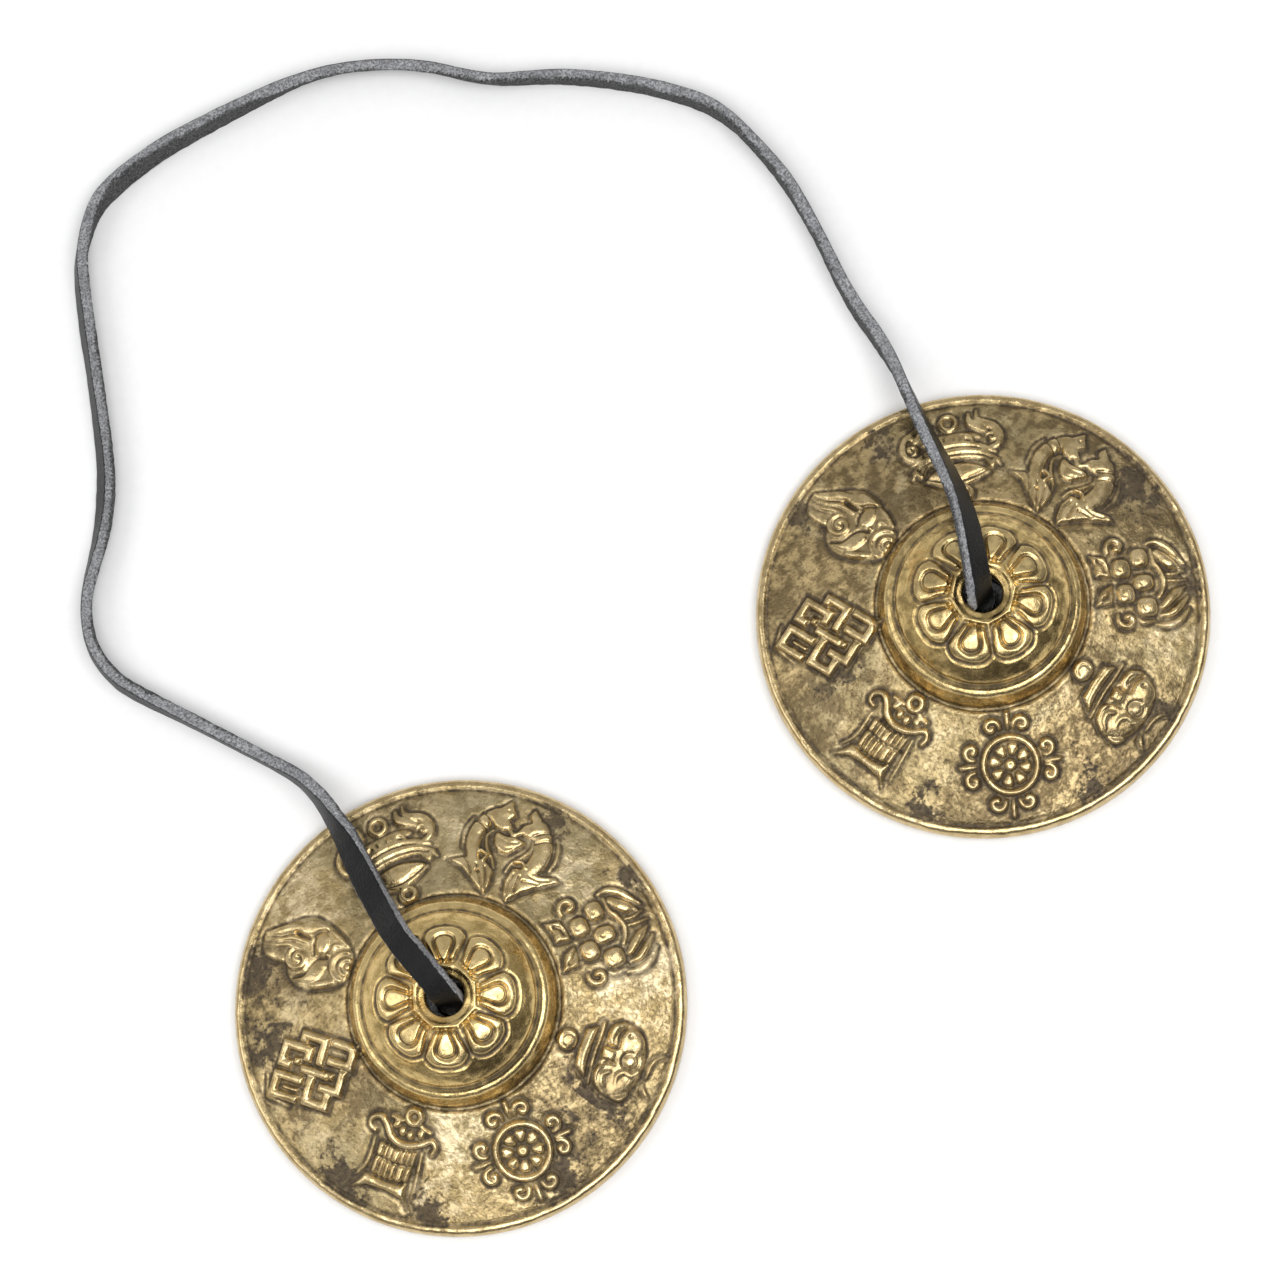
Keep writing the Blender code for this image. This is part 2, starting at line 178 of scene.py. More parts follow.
def strap_end(side):
    """The strap's way from the top of the bend, down the hole and round the knot to its cut end."""
    hole = HOLES[side]
    angle = math.radians(hole["heading"])
    foot = np.array(hole["foot"])
    along = np.array((math.cos(angle), math.sin(angle)))
    beside = np.array((-math.sin(angle), math.cos(angle)))
    lean = hole["lean"] if side == "right" else 180.0 - hole["lean"]
    way = []
    for turned in np.radians(np.linspace(90, 0, 6)):
        place = foot + along * BEND_RADIUS * (1 - math.cos(turned))
        way.append((*place, PIVOT_HEIGHT - BEND_RADIUS * (1 - math.sin(turned)), lean))
    way.append((*foot, NECK_HEIGHT, lean))
    for a, b, z, knot_lean in KNOT_PATH:
        place = foot + along * a + beside * b
        way.append((*place, KNOT_MIDDLE + z, lean if knot_lean is None else knot_lean))
    return way


right_end = strap_end("right")
left_end = [(x, y, z, 180.0 - lean) for x, y, z, lean in strap_end("left")[::-1]]
strap_line, strap_length = even_steps(smooth_curve(left_end + STRAP_ROUTE + right_end, steps=12), STEP)
for _ in range(3):
    strap_line[1:-1] = (strap_line[:-2] + 2 * strap_line[1:-1] + strap_line[2:]) / 4
print(f"whole strap: {strap_length:.0f} mm in {len(strap_line)} steps")

# %% [markdown]
# ## How the strap is turned along its route
# Each step of the line gets three directions: forward, across the width, and out of the smooth
# side. Where the strap lies or climbs, its lean gives them. Where it runs straight up or down, a
# lean has no meaning, so those steps share out the turn between their nearest clear neighbours.

# %% Directions along the strap
CLEAR_SLOPE = 0.25


def strap_directions(line):
    """Forward, across and outward directions at each step of the strap."""
    forward = np.gradient(line[:, :3], axis=0)
    forward /= np.linalg.norm(forward, axis=1)[:, None]
    side = np.cross((0.0, 0.0, 1.0), forward)
    slope = np.linalg.norm(side, axis=1)
    side /= np.maximum(slope, 1e-9)[:, None]
    lean = np.radians(line[:, 3])[:, None]
    across = np.cos(lean) * np.cross(forward, side) - np.sin(lean) * side
    clear = np.flatnonzero(slope > CLEAR_SLOPE)
    steps = np.arange(len(line))
    across = np.stack([np.interp(steps, clear, column[clear]) for column in across.T], 1)
    for _ in range(4):
        across[1:-1] = (across[:-2] + across[1:-1] + across[2:]) / 3
    across -= forward * np.sum(across * forward, axis=1)[:, None]
    across /= np.linalg.norm(across, axis=1)[:, None]
    return forward, across, np.cross(across, forward)


forward, across, outward = strap_directions(strap_line)
print("smooth side at the top of the loop faces", outward[len(outward) // 2].round(2))

# %% [markdown]
# ## The strap as a mesh
# A lace is cut with a knife, so its section is a rectangle whose corners are only just rounded,
# and its cut sides are soft and a little uneven. A flat grid is rolled into a tube with that
# outline: one row of the grid for each step along, one column for each point round. Its two long
# sides meet and are merged, and its ends are closed. The grid's UV map is written in metres,
# along and around, before it is rolled, so the material can tell the smooth side from the back
# and the cut edges, whichever way the strap turns.

# %% Outline of the strap
CORNER = 0.22
OUTLINE_STEP = 0.4
HALF_WIDTH = STRAP_WIDTH / MM / 2
HALF_DEPTH = STRAP_THICKNESS / MM / 2


def strap_outline():
    """Points round the strap, from the middle of its back: across and outward, in mm."""
    line = [(0.0, -HALF_DEPTH)]
    for x, y, start in ((1, -1, -90), (1, 1, 0), (-1, 1, 90), (-1, -1, 180)):
        for angle in np.radians(np.linspace(start, start + 90, 4)):
            along_x = x * (HALF_WIDTH - CORNER) + CORNER * math.cos(angle)
            along_y = y * (HALF_DEPTH - CORNER) + CORNER * math.sin(angle)
            line.append((along_x, along_y))
    line.append((0.0, -HALF_DEPTH))
    dense = [np.array(line[0])]
    for start, end in zip(np.array(line), np.array(line[1:])):
        parts = max(1, int(round(np.linalg.norm(end - start) / OUTLINE_STEP)))
        dense += [start + (end - start) * part / parts for part in range(1, parts + 1)]
    return np.array(dense)


outline = strap_outline()
round_way = np.concatenate([[0.0], np.cumsum(np.linalg.norm(np.diff(outline, axis=0), axis=1))])
print(f"outline: {len(outline) - 1} points, {round_way[-1]:.2f} mm round")

# %% Uneven edges
EDGE_START = 1.2
WIDTH_WANDER = 0.09
DEPTH_WANDER = 0.04
WIDTH_FRAY = 0.13
DEPTH_FRAY = 0.09


def wander(way, seed):
    """A smooth value that wanders between -1 and 1 along the strap."""
    waves = ((0.29, 1.7, 0.45), (0.83, 4.1, 0.3), (2.1, 2.9, 0.25))
    return sum(size * math.sin(way * pitch + seed * phase) for pitch, phase, size in waves)


def uneven(column, row):
    """A point of the outline, moved as a hand-cut edge wanders and its back frays."""
    x, y = outline[column]
    edge = max(0.0, abs(x) - EDGE_START) / (HALF_WIDTH - EDGE_START)
    x += math.copysign(WIDTH_WANDER, x) * edge * wander(row * STEP, 2.0 if x > 0 else 5.0)
    y += math.copysign(DEPTH_WANDER, y) * wander(row * STEP, 3.0)
    rough = noise.noise((row * 0.37, column * 0.61, 0.0)) * edge
    x += math.copysign(WIDTH_FRAY, x) * rough
    y += math.copysign(DEPTH_FRAY, y) * rough * (y < 0)
    return x, y


print("one edge point, mm:", [round(float(value), 2) for value in uneven(len(outline) // 4, 0)])

# %% Tightness of the knots
KNOT_WIDTH = 0.84
BELL_REACH = 6.0
KNOT_HEIGHTS = [3.5, 5.5, 12.5, 13.9]

in_bells = np.hypot(np.abs(strap_line[:, 0]) - HUB_REACH, strap_line[:, 1]) < BELL_REACH
narrowed = np.interp(strap_line[:, 2], KNOT_HEIGHTS, [1.0, KNOT_WIDTH, KNOT_WIDTH, 1.0])
tightness = np.where(in_bells, narrowed, 1.0)
print("steps inside the bells:", int(in_bells.sum()))

# %% Roll a grid into a stretch of strap
SEAM_REACH = 8.0


def make_piece(name, bm):
    """Turn a bmesh into an object of the scene."""
    mesh = bpy.data.meshes.new(name)
    bm.to_mesh(mesh)
    bm.free()
    piece = bpy.data.objects.new(name, mesh)
    bpy.context.scene.collection.objects.link(piece)
    print(f"{name}: {len(mesh.polygons)} faces")
    return piece


def strap_piece(name, first, last):
    """The stretch of strap between two steps, as a closed tube."""
    columns = len(outline) - 1
    rows = last - first
    bm = bmesh.new()
    uv_map = bm.loops.layers.uv.new("strap")
    bmesh.ops.create_grid(bm, x_segments=columns, y_segments=rows, size=0.5)
    cells = {}
    for vert in bm.verts:
        column = round((vert.co.x + 0.5) * columns)
        row = first + round((vert.co.y + 0.5) * rows)
        cells[vert] = (column, row)
    for face in bm.faces:
        face.smooth = True
        for loop in face.loops:
            column, row = cells[loop.vert]
            loop[uv_map].uv = (row * STEP * MM, round_way[column] * MM)
    for vert, (column, row) in cells.items():
        x, y = uneven(column, row)
        width = across[row] * x * tightness[row]
        vert.co = (strap_line[row, :3] + width + outward[row] * y) * MM
    bmesh.ops.remove_doubles(bm, verts=bm.verts, dist=0.01 * MM)
    ends = [edge for edge in bm.edges if edge.is_boundary]
    bmesh.ops.holes_fill(bm, edges=ends, sides=0)
    for edge in ends:
        edge.smooth = False
    bmesh.ops.recalc_face_normals(bm, faces=bm.faces)
    return make_piece(name, bm)


reach = {}
for side, hole in HOLES.items():
    off = strap_line[:, :2] - hole["foot"]
    reach[side] = np.hypot(off[:, 0], off[:, 1])
seam_left = np.flatnonzero(reach["left"] < SEAM_REACH).max()
seam_right = np.flatnonzero(reach["right"] < SEAM_REACH).min()
strap_run = strap_piece("strap_run", seam_left, seam_right)
strap_end_left = strap_piece("strap_end_left", 0, seam_left)
strap_end_right = strap_piece("strap_end_right", seam_right, len(strap_line) - 1)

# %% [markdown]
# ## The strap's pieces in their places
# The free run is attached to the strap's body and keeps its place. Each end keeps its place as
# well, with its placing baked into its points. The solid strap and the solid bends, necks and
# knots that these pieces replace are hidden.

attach(strap_run, "strap")
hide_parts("strap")
for side, piece in (("left", strap_end_left), ("right", strap_end_right)):
    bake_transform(piece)
    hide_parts(f"strap_bend_{side}", f"strap_neck_{side}", f"knot_{side}")
print(f"free run between the seams: {(seam_right - seam_left) * STEP:.1f} mm")

# %% [markdown]
# ## The section of a cymbal
# Each cymbal was cast thick and turned: a rounded rim band, a field that slopes up to a bulging
# ring, and a dome with a hole through its hub. Turned work is best made as it is on the lathe,
# from one outline of half its section, spun round the axis. The outline runs from the hole over
# the dome, down the field, round the rim and back inside. Its points are closest together on the
# outer face, because that is the face that will be carved. DISH is the hole's mouth, a shallow
# gold lip round the strap.

# %% Sizes of a cymbal
RIM_RADIUS = 32.5
RIM_THICKNESS = 3.0
RIM_ROUND = 0.9
BAND_INNER = 31.1
FIELD_INNER = 15.2
FIELD_FOOT = 2.8
FIELD_SLOPE = math.radians(17.9)
RING_TOP = (12.9, 11.57)
RING_FOOT = (14.9, 7.785)
RING_BULGE = 0.45
DOME_FOOT = 8.385
DOME_SIZE = (13.4, 8.8)
DOME_POWER = 2.4
MOUTH_RADIUS = 3.9
HOLE_RADIUS = 2.75
DISH = ((2.75, 16.55), (2.84, 16.7), (3.2, 16.78), (3.6, 16.84))
REST_INNER = 29.9
BELL_RADIUS = 11.2
BELL_LIP = 11.9
HUB_UNDERSIDE = 14.09
EASE = 0.15
LIP_EASE = 0.1
print("cymbal across, mm:", RIM_RADIUS * 2)

# %% Half of the section
def squared_height(radius, rise, reach):
    """Height of a squared quarter ellipse at a distance from its axis."""
    return rise * (1 - (reach / radius) ** DOME_POWER) ** (1 / DOME_POWER)


def upper_section():
    """The outside of the cymbal, from the hole's mouth to the inner edge of the rim band."""
    shares = np.sin(np.linspace(0, math.pi / 2, 40))
    reaches = MOUTH_RADIUS + (RING_TOP[0] - MOUTH_RADIUS) * shares
    points = [(reach, DOME_FOOT + squared_height(*DOME_SIZE, reach)) for reach in reaches]
    start = np.array(RING_TOP)
    run = np.array(RING_FOOT) - start
    square = np.array((-run[1], run[0])) / np.linalg.norm(run)
    for share in np.linspace(0.1, 1, 10):
        bulge = square * RING_BULGE * 4 * share * (1 - share)
        points.append(tuple(start + run * share + bulge))
    rise = (BAND_INNER - FIELD_INNER) * math.tan(FIELD_SLOPE)
    points.append((FIELD_INNER, FIELD_FOOT + rise))
    points.append((BAND_INNER, FIELD_FOOT))
    return np.array(points)


def rim_section():
    """Round the rim, from the top of its band to the flat ring that it rests on."""
    centre = RIM_RADIUS - RIM_ROUND
    half = RIM_THICKNESS / 2
    points = [(BAND_INNER + 0.2, RIM_THICKNESS - 0.02)]
    for angle in np.radians(np.linspace(90, -90, 19)):
        points.append((centre + RIM_ROUND * math.cos(angle), half + half * math.sin(angle)))
    points.append((REST_INNER + EASE, 0.0))
    return np.array(points)


def lower_section():
    """The underside, from inside the rim up into the bell, and up the hole to its mouth."""
    slope = math.tan(FIELD_SLOPE)
    foot = (REST_INNER - BELL_RADIUS) * slope
    lip = (BELL_LIP + LIP_EASE, (REST_INNER - BELL_LIP - LIP_EASE) * slope)
    points = [(REST_INNER - EASE, EASE * slope), lip]
    rise = HUB_UNDERSIDE - foot
    for angle in np.radians(np.linspace(8, 72, 24)):
        reach = BELL_RADIUS * math.cos(angle) ** (2 / DOME_POWER)
        points.append((reach, foot + squared_height(BELL_RADIUS, rise, reach)))
    points.append((HOLE_RADIUS + EASE, HUB_UNDERSIDE))
    points.append((HOLE_RADIUS, HUB_UNDERSIDE + EASE))
    points.append(DISH[0])
    return np.array(points)


upper = even_steps(upper_section(), 0.15)[0]
rim = even_steps(rim_section(), 0.3)[0]
lower = even_steps(lower_section(), 0.8)[0]
dish = even_steps(np.array([*DISH, tuple(upper[0])]), 0.2)[0][1:-1]
section = np.concatenate([upper, rim, lower, dish])
print(f"section: {len(upper)} points on the outside, {len(section)} in all")

# %% [markdown]
# ## Turn the casting
# Blender's Screw modifier is a lathe when it doesn't climb: it turns the outline once round its
# axis. The steps round are fine, because the carving is moved out of this same surface
# afterwards: at the rim they come to less than a fifth of a millimetre. Each point keeps its
# number in the outline, which the modifier copies, so the carving knows where on the section it
# stands. The modifier runs on a carrier object and the turned mesh is taken from it, so that no
# modifier stays. It lists its points in the same order every time, so the thinning further down
# gives the same mesh every time too.

# %% Turn
TURN_STEPS = 1100


def with_modifier(mesh, kind, **settings):
    """What a modifier makes of a mesh."""
    carrier = bpy.data.objects.new("carrier", mesh)
    bpy.context.scene.collection.objects.link(carrier)
    modifier = carrier.modifiers.new(kind, kind)
    for name, value in settings.items():
        setattr(modifier, name, value)
    graph = bpy.context.evaluated_depsgraph_get()
    result = bpy.data.meshes.new_from_object(carrier.evaluated_get(graph), depsgraph=graph)
    bpy.data.objects.remove(carrier)
    bpy.data.meshes.remove(mesh)
    return result


def turn_casting():
    """The plain turned cymbal, on an axis through the origin, in mm."""
    bm = bmesh.new()
    number_of = bm.verts.layers.float.new("section")
    ring = []
    for number, (reach, height) in enumerate(section):
        vert = bm.verts.new((reach, 0.0, height))
        vert[number_of] = number
        ring.append(vert)
    for start, end in zip(ring, ring[1:] + ring[:1]):
        bm.edges.new((start, end))
    profile = bpy.data.meshes.new("profile")
    bm.to_mesh(profile)
    bm.free()
    return with_modifier(
        profile,
        "SCREW",
        axis="Z",
        angle=2 * math.pi,
        steps=TURN_STEPS,
        render_steps=TURN_STEPS,
        use_normal_calculate=True,
    )


casting = turn_casting()
print(f"turned casting: {len(casting.vertices)} points")

# %% [markdown]
# ## A carving board
# The figures were carved in the pattern that the cymbals were cast from. A carver thinks in
# ridges, bands, strips, bosses, raised pads and cuts, so that is how they are drawn here: on a
# small square board, held as a grid of heights in millimetres, with x along the rim and y away
# from the hub. The board also keeps how near each spot is to the raised work. A groove is chased
# along its foot, a low welt stands outside the groove, and dark patina stays in both.

# %% Lines and softening
BOARD_PITCH = 0.06


def soften(grid, radius):
    """Blur a grid by a radius in millimetres."""
    reach = int(3 * radius / BOARD_PITCH) + 1
    steps = np.arange(-reach, reach + 1) * BOARD_PITCH
    kernel = np.exp(-((steps / radius) ** 2) / 2)
    kernel /= kernel.sum()
    padded = np.pad(grid, reach, mode="edge")
    rows = np.apply_along_axis(np.convolve, 0, padded, kernel, "valid")
    return np.apply_along_axis(np.convolve, 1, rows, kernel, "valid")


def arc(x, y, radius, start, end):
    """Points on an arc. Angles are in degrees, anticlockwise from the right."""
    angles = np.radians(np.linspace(start, end, 28))
    return np.stack([x + radius * np.cos(angles), y + radius * np.sin(angles)], 1)


def spiral(x, y, inner, outer, start, end):
    """Points on a spiral, from its eye outwards."""
    angles = np.radians(np.linspace(start, end, 34))
    radii = np.linspace(inner, outer, 34)
    return np.stack([x + radii * np.cos(angles), y + radii * np.sin(angles)], 1)


def shoulder(inside, edge):
    """Rise from 0 to 1 over a rounded shoulder as wide as the edge."""
    step = np.clip(inside / edge, 0, 1)
    return (step * (2 - step)) ** 0.7


print("arc of a finial:", len(arc(0, 5.2, 1.12, 0, 360)), "points")

# %% The board and its tools
FAR = 9.0
MARGIN = 1.6
CUT_MARGIN = 0.4


class Board:
    """A square of metal seen from above, as a grid of heights in millimetres."""

    def __init__(self, half=9.0):
        line = np.linspace(-half, half, int(round(2 * half / BOARD_PITCH)) + 1)
        self.half = half
        self.x, self.y = np.meshgrid(line, line)
        self.height = np.zeros_like(self.x)
        self.away = np.full_like(self.x, FAR)

    def line_of(self, points, soft, closed=False):
        """The points that a tool follows, smoothed if the stroke is a soft one."""
        if soft:
            return smooth_curve(points, closed)
        return np.array(list(points) + list(points[:1]) * closed, float)

    def near(self, line, reach):
        """The part of the board that a stroke along a line can change."""
        low = np.floor((line.min(0) - reach + self.half) / BOARD_PITCH).astype(int)
        high = np.ceil((line.max(0) + reach + self.half) / BOARD_PITCH).astype(int) + 1
        low, high = np.clip([low, high], 0, len(self.x))
        return slice(low[1], high[1]), slice(low[0], high[0])

    def measure(self, line, part):
        """How far each spot is from a line, and how far along the line its nearest point is."""
        x, y = self.x[part], self.y[part]
        best = np.full(x.shape, 99.0)
        along = np.zeros(x.shape)
        lengths = np.hypot(*np.diff(line, axis=0).T) + 1e-9
        ways = np.concatenate([[0.0], np.cumsum(lengths)]) / lengths.sum()
        for number, length in enumerate(lengths):
            start, run = line[number], line[number + 1] - line[number]
            share = np.clip(((x - start[0]) * run[0] + (y - start[1]) * run[1]) / length**2, 0, 1)
            distance = np.hypot(x - start[0] - share * run[0], y - start[1] - share * run[1])
            nearer = distance < best
            best = np.where(nearer, distance, best)
            along = np.where(nearer, ways[number] + share * (ways[number + 1] - ways[number]), along)
        return best, along

    def raise_to(self, part, raised, gap):
        """Lift the metal to a new height where that is higher, and keep the distance to it."""
        here = self.height[part]
        self.height[part] = np.where(gap < 0, np.maximum(here, raised), here)
        self.away[part] = np.minimum(self.away[part], gap)

    def ridge(self, points, width, height=0.5, tips=(1.0, 1.0), soft=True, foot=0.0):
        """A rounded ridge along a line. Its ends narrow to the given shares of its width."""
        line = self.line_of(points, soft)
        part = self.near(line, width + MARGIN)
        distance, along = self.measure(line, part)
        swell = np.interp(along, [0.0, 0.35, 0.65, 1.0], [tips[0], 1.0, 1.0, tips[1]])
        half = width * swell
        crown = np.sqrt(np.clip(1 - (distance / half) ** 2, 0, 1))
        self.raise_to(part, foot + height * np.clip(swell, 0.55, 1) * crown, distance - half)

    def band(self, points, width, height):
        """A flat-topped band along a line, with sloping sides."""
        line = self.line_of(points, True)
        part = self.near(line, width + MARGIN)
        distance, _ = self.measure(line, part)
        self.raise_to(part, height * shoulder(width - distance, 0.3), distance - width)

    def strip(self, corners, width, height, turn):
        """A flat-topped strip with square corners, drawn in axes turned by an angle."""
        c, s = math.cos(math.radians(turn)), math.sin(math.radians(turn))
        u, v = self.x * c + self.y * s, self.y * c - self.x * s
        for (u0, v0), (u1, v1) in zip(corners, corners[1:]):
            beyond_u = np.abs(u - (u0 + u1) / 2) - abs(u1 - u0) / 2
            beyond_v = np.abs(v - (v0 + v1) / 2) - abs(v1 - v0) / 2
            gap = np.maximum(beyond_u, beyond_v) - width
            crown = 0.18 * np.clip(-gap / width, 0, 1)
            self.raise_to(slice(None), height * shoulder(-gap, 0.34) + crown, gap)

    def boss(self, x, y, radius, height=0.5, squash=1.0, foot=0.0, turn=0.0, square=2.0):
        """A boss, round or oval, and squarer in outline as square rises above 2."""
        part = self.near(np.array([[x, y]]), radius * max(squash, 1) + MARGIN)
        c, s = math.cos(math.radians(turn)), math.sin(math.radians(turn))
        dx, dy = self.x[part] - x, self.y[part] - y
        across = np.abs(dx * c + dy * s) / radius
        up = np.abs(dy * c - dx * s) / (radius * squash)
        reach = (across**square + up**square) ** (1 / square)
        crown = np.clip(1 - reach**2.6, 0, 1) ** 0.5
        self.raise_to(part, foot + height * crown, (reach - 1) * radius)

    def pad(self, points, height=0.4, edge=0.35, crown=0.15, soft=False, foot=0.0):
        """The inside of an outline, raised, with sloping edges and a slightly rounded top."""
        line = self.line_of(points, soft, closed=True)
        part = self.near(line, MARGIN)
        distance, _ = self.measure(line, part)
        x, y = self.x[part], self.y[part]
        inside = np.zeros(x.shape, bool)
        for start, end in zip(line, line[1:]):
            if start[1] != end[1]:
                crossing = start[0] + (y - start[1]) / (end[1] - start[1]) * (end[0] - start[0])
                inside ^= ((start[1] > y) != (end[1] > y)) & (x < crossing)
        rounding = crown * np.clip(distance / 1.5, 0, 1)
        raised = foot + height * shoulder(distance, edge) + rounding
        self.raise_to(part, raised, np.where(inside, -distance, distance))

    def cut(self, points, width, depth=0.3, soft=True):
        """A round-bottomed cut along a line."""
        line = self.line_of(points, soft)
        part = self.near(line, width + CUT_MARGIN)
        distance, _ = self.measure(line, part)
        self.height[part] -= depth * np.clip(1 - (distance / width) ** 2, 0, 1) ** 1.5

    def pit(self, x, y, radius, depth=0.3):
        """A round hollow."""
        part = self.near(np.array([[x, y]]), radius + CUT_MARGIN)
        reach = np.hypot(self.x[part] - x, self.y[part] - y) / radius
        self.height[part] -= depth * np.clip(1 - reach**2, 0, 1)

    def finish(self, moat=0.16, reach=0.24, welt=0.045, soft=0.1):
        """Chase a groove round the raised work, soften it all, and note the hollows."""
        outside = self.away > -0.05
        groove = np.exp(-(((self.away - reach) / (0.9 * reach)) ** 2)) * outside
        ripple = np.exp(-(((self.away - 3.6 * reach) / (0.9 * reach)) ** 2))
        self.height += welt * ripple - moat * groove
        self.height = soften(self.height, soft)
        wide = soften(self.height, 0.5) - self.height
        narrow = soften(self.height, 0.18) - self.height
        sunk = np.clip(wide * 2.6, 0, 1) + np.clip(narrow * 5.0, 0, 1)
        halo = np.exp(-((np.clip(self.away - reach, 0, None) / 0.3) ** 2)) * outside
        self.hollow = np.clip(sunk + 0.5 * soften(halo, 0.08), 0, 1)
        return self

    def sample(self, grid, x, y):
        """Read a grid of the board at many places, with nothing beyond its edges."""
        last = len(self.x) - 1.001
        across = np.clip((x + self.half) / BOARD_PITCH, 0, last)
        up = np.clip((y + self.half) / BOARD_PITCH, 0, last)
        i, j = across.astype(int), up.astype(int)
        u, v = across - i, up - j
        low = grid[j, i] * (1 - u) + grid[j, i + 1] * u
        high = grid[j + 1, i] * (1 - u) + grid[j + 1, i + 1] * u
        return (low * (1 - v) + high * v) * (np.maximum(np.abs(x), np.abs(y)) < self.half)


print("board of", Board().x.shape, "spots")

# %% Carve a figure
figures = []


def carve(draw):
    """Carve one figure on a board of its own and keep it in its turn."""
    board = Board()
    draw(board)
    figures.append(board.finish())
    print(f"{draw.__name__}: {board.height.max():.2f} mm high")


print("boards so far:", len(figures))

# %% [markdown]
# ### Parasol
# The parasol keeps off the heat of the sun. Its canopy is a stack of arching bands over a
# boat-shaped lining, with a ring for a finial and a broad ribbon curling up on either side. The
# two sides are alike, so one is drawn and repeated.

# %% Parasol
def parasol(board):
    """A canopy with its lining, a ring on top and a curled ribbon on either side."""
    board.ridge(arc(0, 5.2, 1.12, 0, 360), 0.42, 0.5, soft=False)
    canopy = [
        (-4.2, 2.2), (-3.2, 3.3), (0, 3.6), (3.2, 3.3), (4.2, 2.2), (0, 2.0),
    ]
    board.pad(canopy, 0.22, 0.4, 0.1, soft=True)
    for side in (-1, 1):
        board.boss(side * 0.75, 2.55, 0.55, 0.5, 0.8)
        fold = [
            (side * 1.5, 2.1), (side * 2.1, 2.8), (side * 2.8, 2.4), (side * 3.1, 1.5),
        ]
        board.ridge(fold, 0.4, 0.5, (0.7, 0.5))
        inner_ribbon = [
            (side * 3.1, 6.2), (side * 3.1, 4.9), (side * 4.2, 3.9), (side * 5.1, 3.2),
        ]
        board.ridge(inner_ribbon, 0.75, 0.55, (0.4, 0.6))
        outer_ribbon = [
            (side * 4.4, 6.6), (side * 4.2, 5.4), (side * 5.2, 4.4), (side * 6.4, 3.6),
            (side * 7.0, 2.2), (side * 6.6, 0.8), (side * 5.5, 0.4),
        ]
        board.ridge(outer_ribbon, 0.72, 0.62, (0.3, 0.6))
        curl = spiral(side * 5.8, 2.0, 0.2, 0.85, 200, 200 + side * 300)
        board.ridge(curl, 0.34, 0.5, (1.0, 0.6), soft=False)
        board.ridge([(side * 3.9, 1.2), (side * 4.6, 0.5), (side * 5.9, -0.3)], 0.5, 0.42, (0.5, 0.6))
        hem = [
            (side * 4.4, -1.4), (side * 5.1, -2.4), (side * 5.8, -1.6), (side * 6.3, -2.5),
        ]
        board.ridge(hem, 0.4, 0.42, (0.6, 0.4))
    board.ridge([(-5.4, 0.0), (-2.8, 1.4), (0, 1.8), (2.8, 1.4), (5.4, 0.0)], 0.5, 0.45, (0.5, 0.5))
    board.ridge([(-6.1, -1.6), (-3.8, 0.0), (0, 0.62), (3.8, 0.0), (6.1, -1.6)], 0.58, 0.55, (0.5, 0.5))
    lining_lip = [
        (-5.6, -2.1), (-3.6, -0.8), (0, -0.3), (3.6, -0.8), (5.6, -2.1),
    ]
    board.ridge(lining_lip, 0.34, 0.42, (0.5, 0.5))
    lining = [
        (-4.3, -3.0), (-2.6, -1.8), (0, -1.3), (2.6, -1.8), (4.3, -3.0), (2.4, -3.8), (0, -4.3),
        (-2.4, -3.8),
    ]
    board.pad(lining, 0.5, 0.8, 0.3, soft=True)
    board.ridge([(-4.5, -3.3), (-2.4, -4.2), (0, -4.7), (2.4, -4.2), (4.5, -3.3)], 0.36, 0.5, (0.5, 0.5))
    board.ridge(arc(0.4, -6.2, 0.98, 0, 360), 0.46, 0.52, soft=False)


carve(parasol)

# %% [markdown]
# ### Fish pair
# Two fish stand nose to nose with their tails crossed apart, so that their backs close a ring
# round a heart-shaped hollow. The bodies are broad ridges, drawn one after the other because
# they differ; heads and tails are pads, with gills, scales and fin rays cut in.

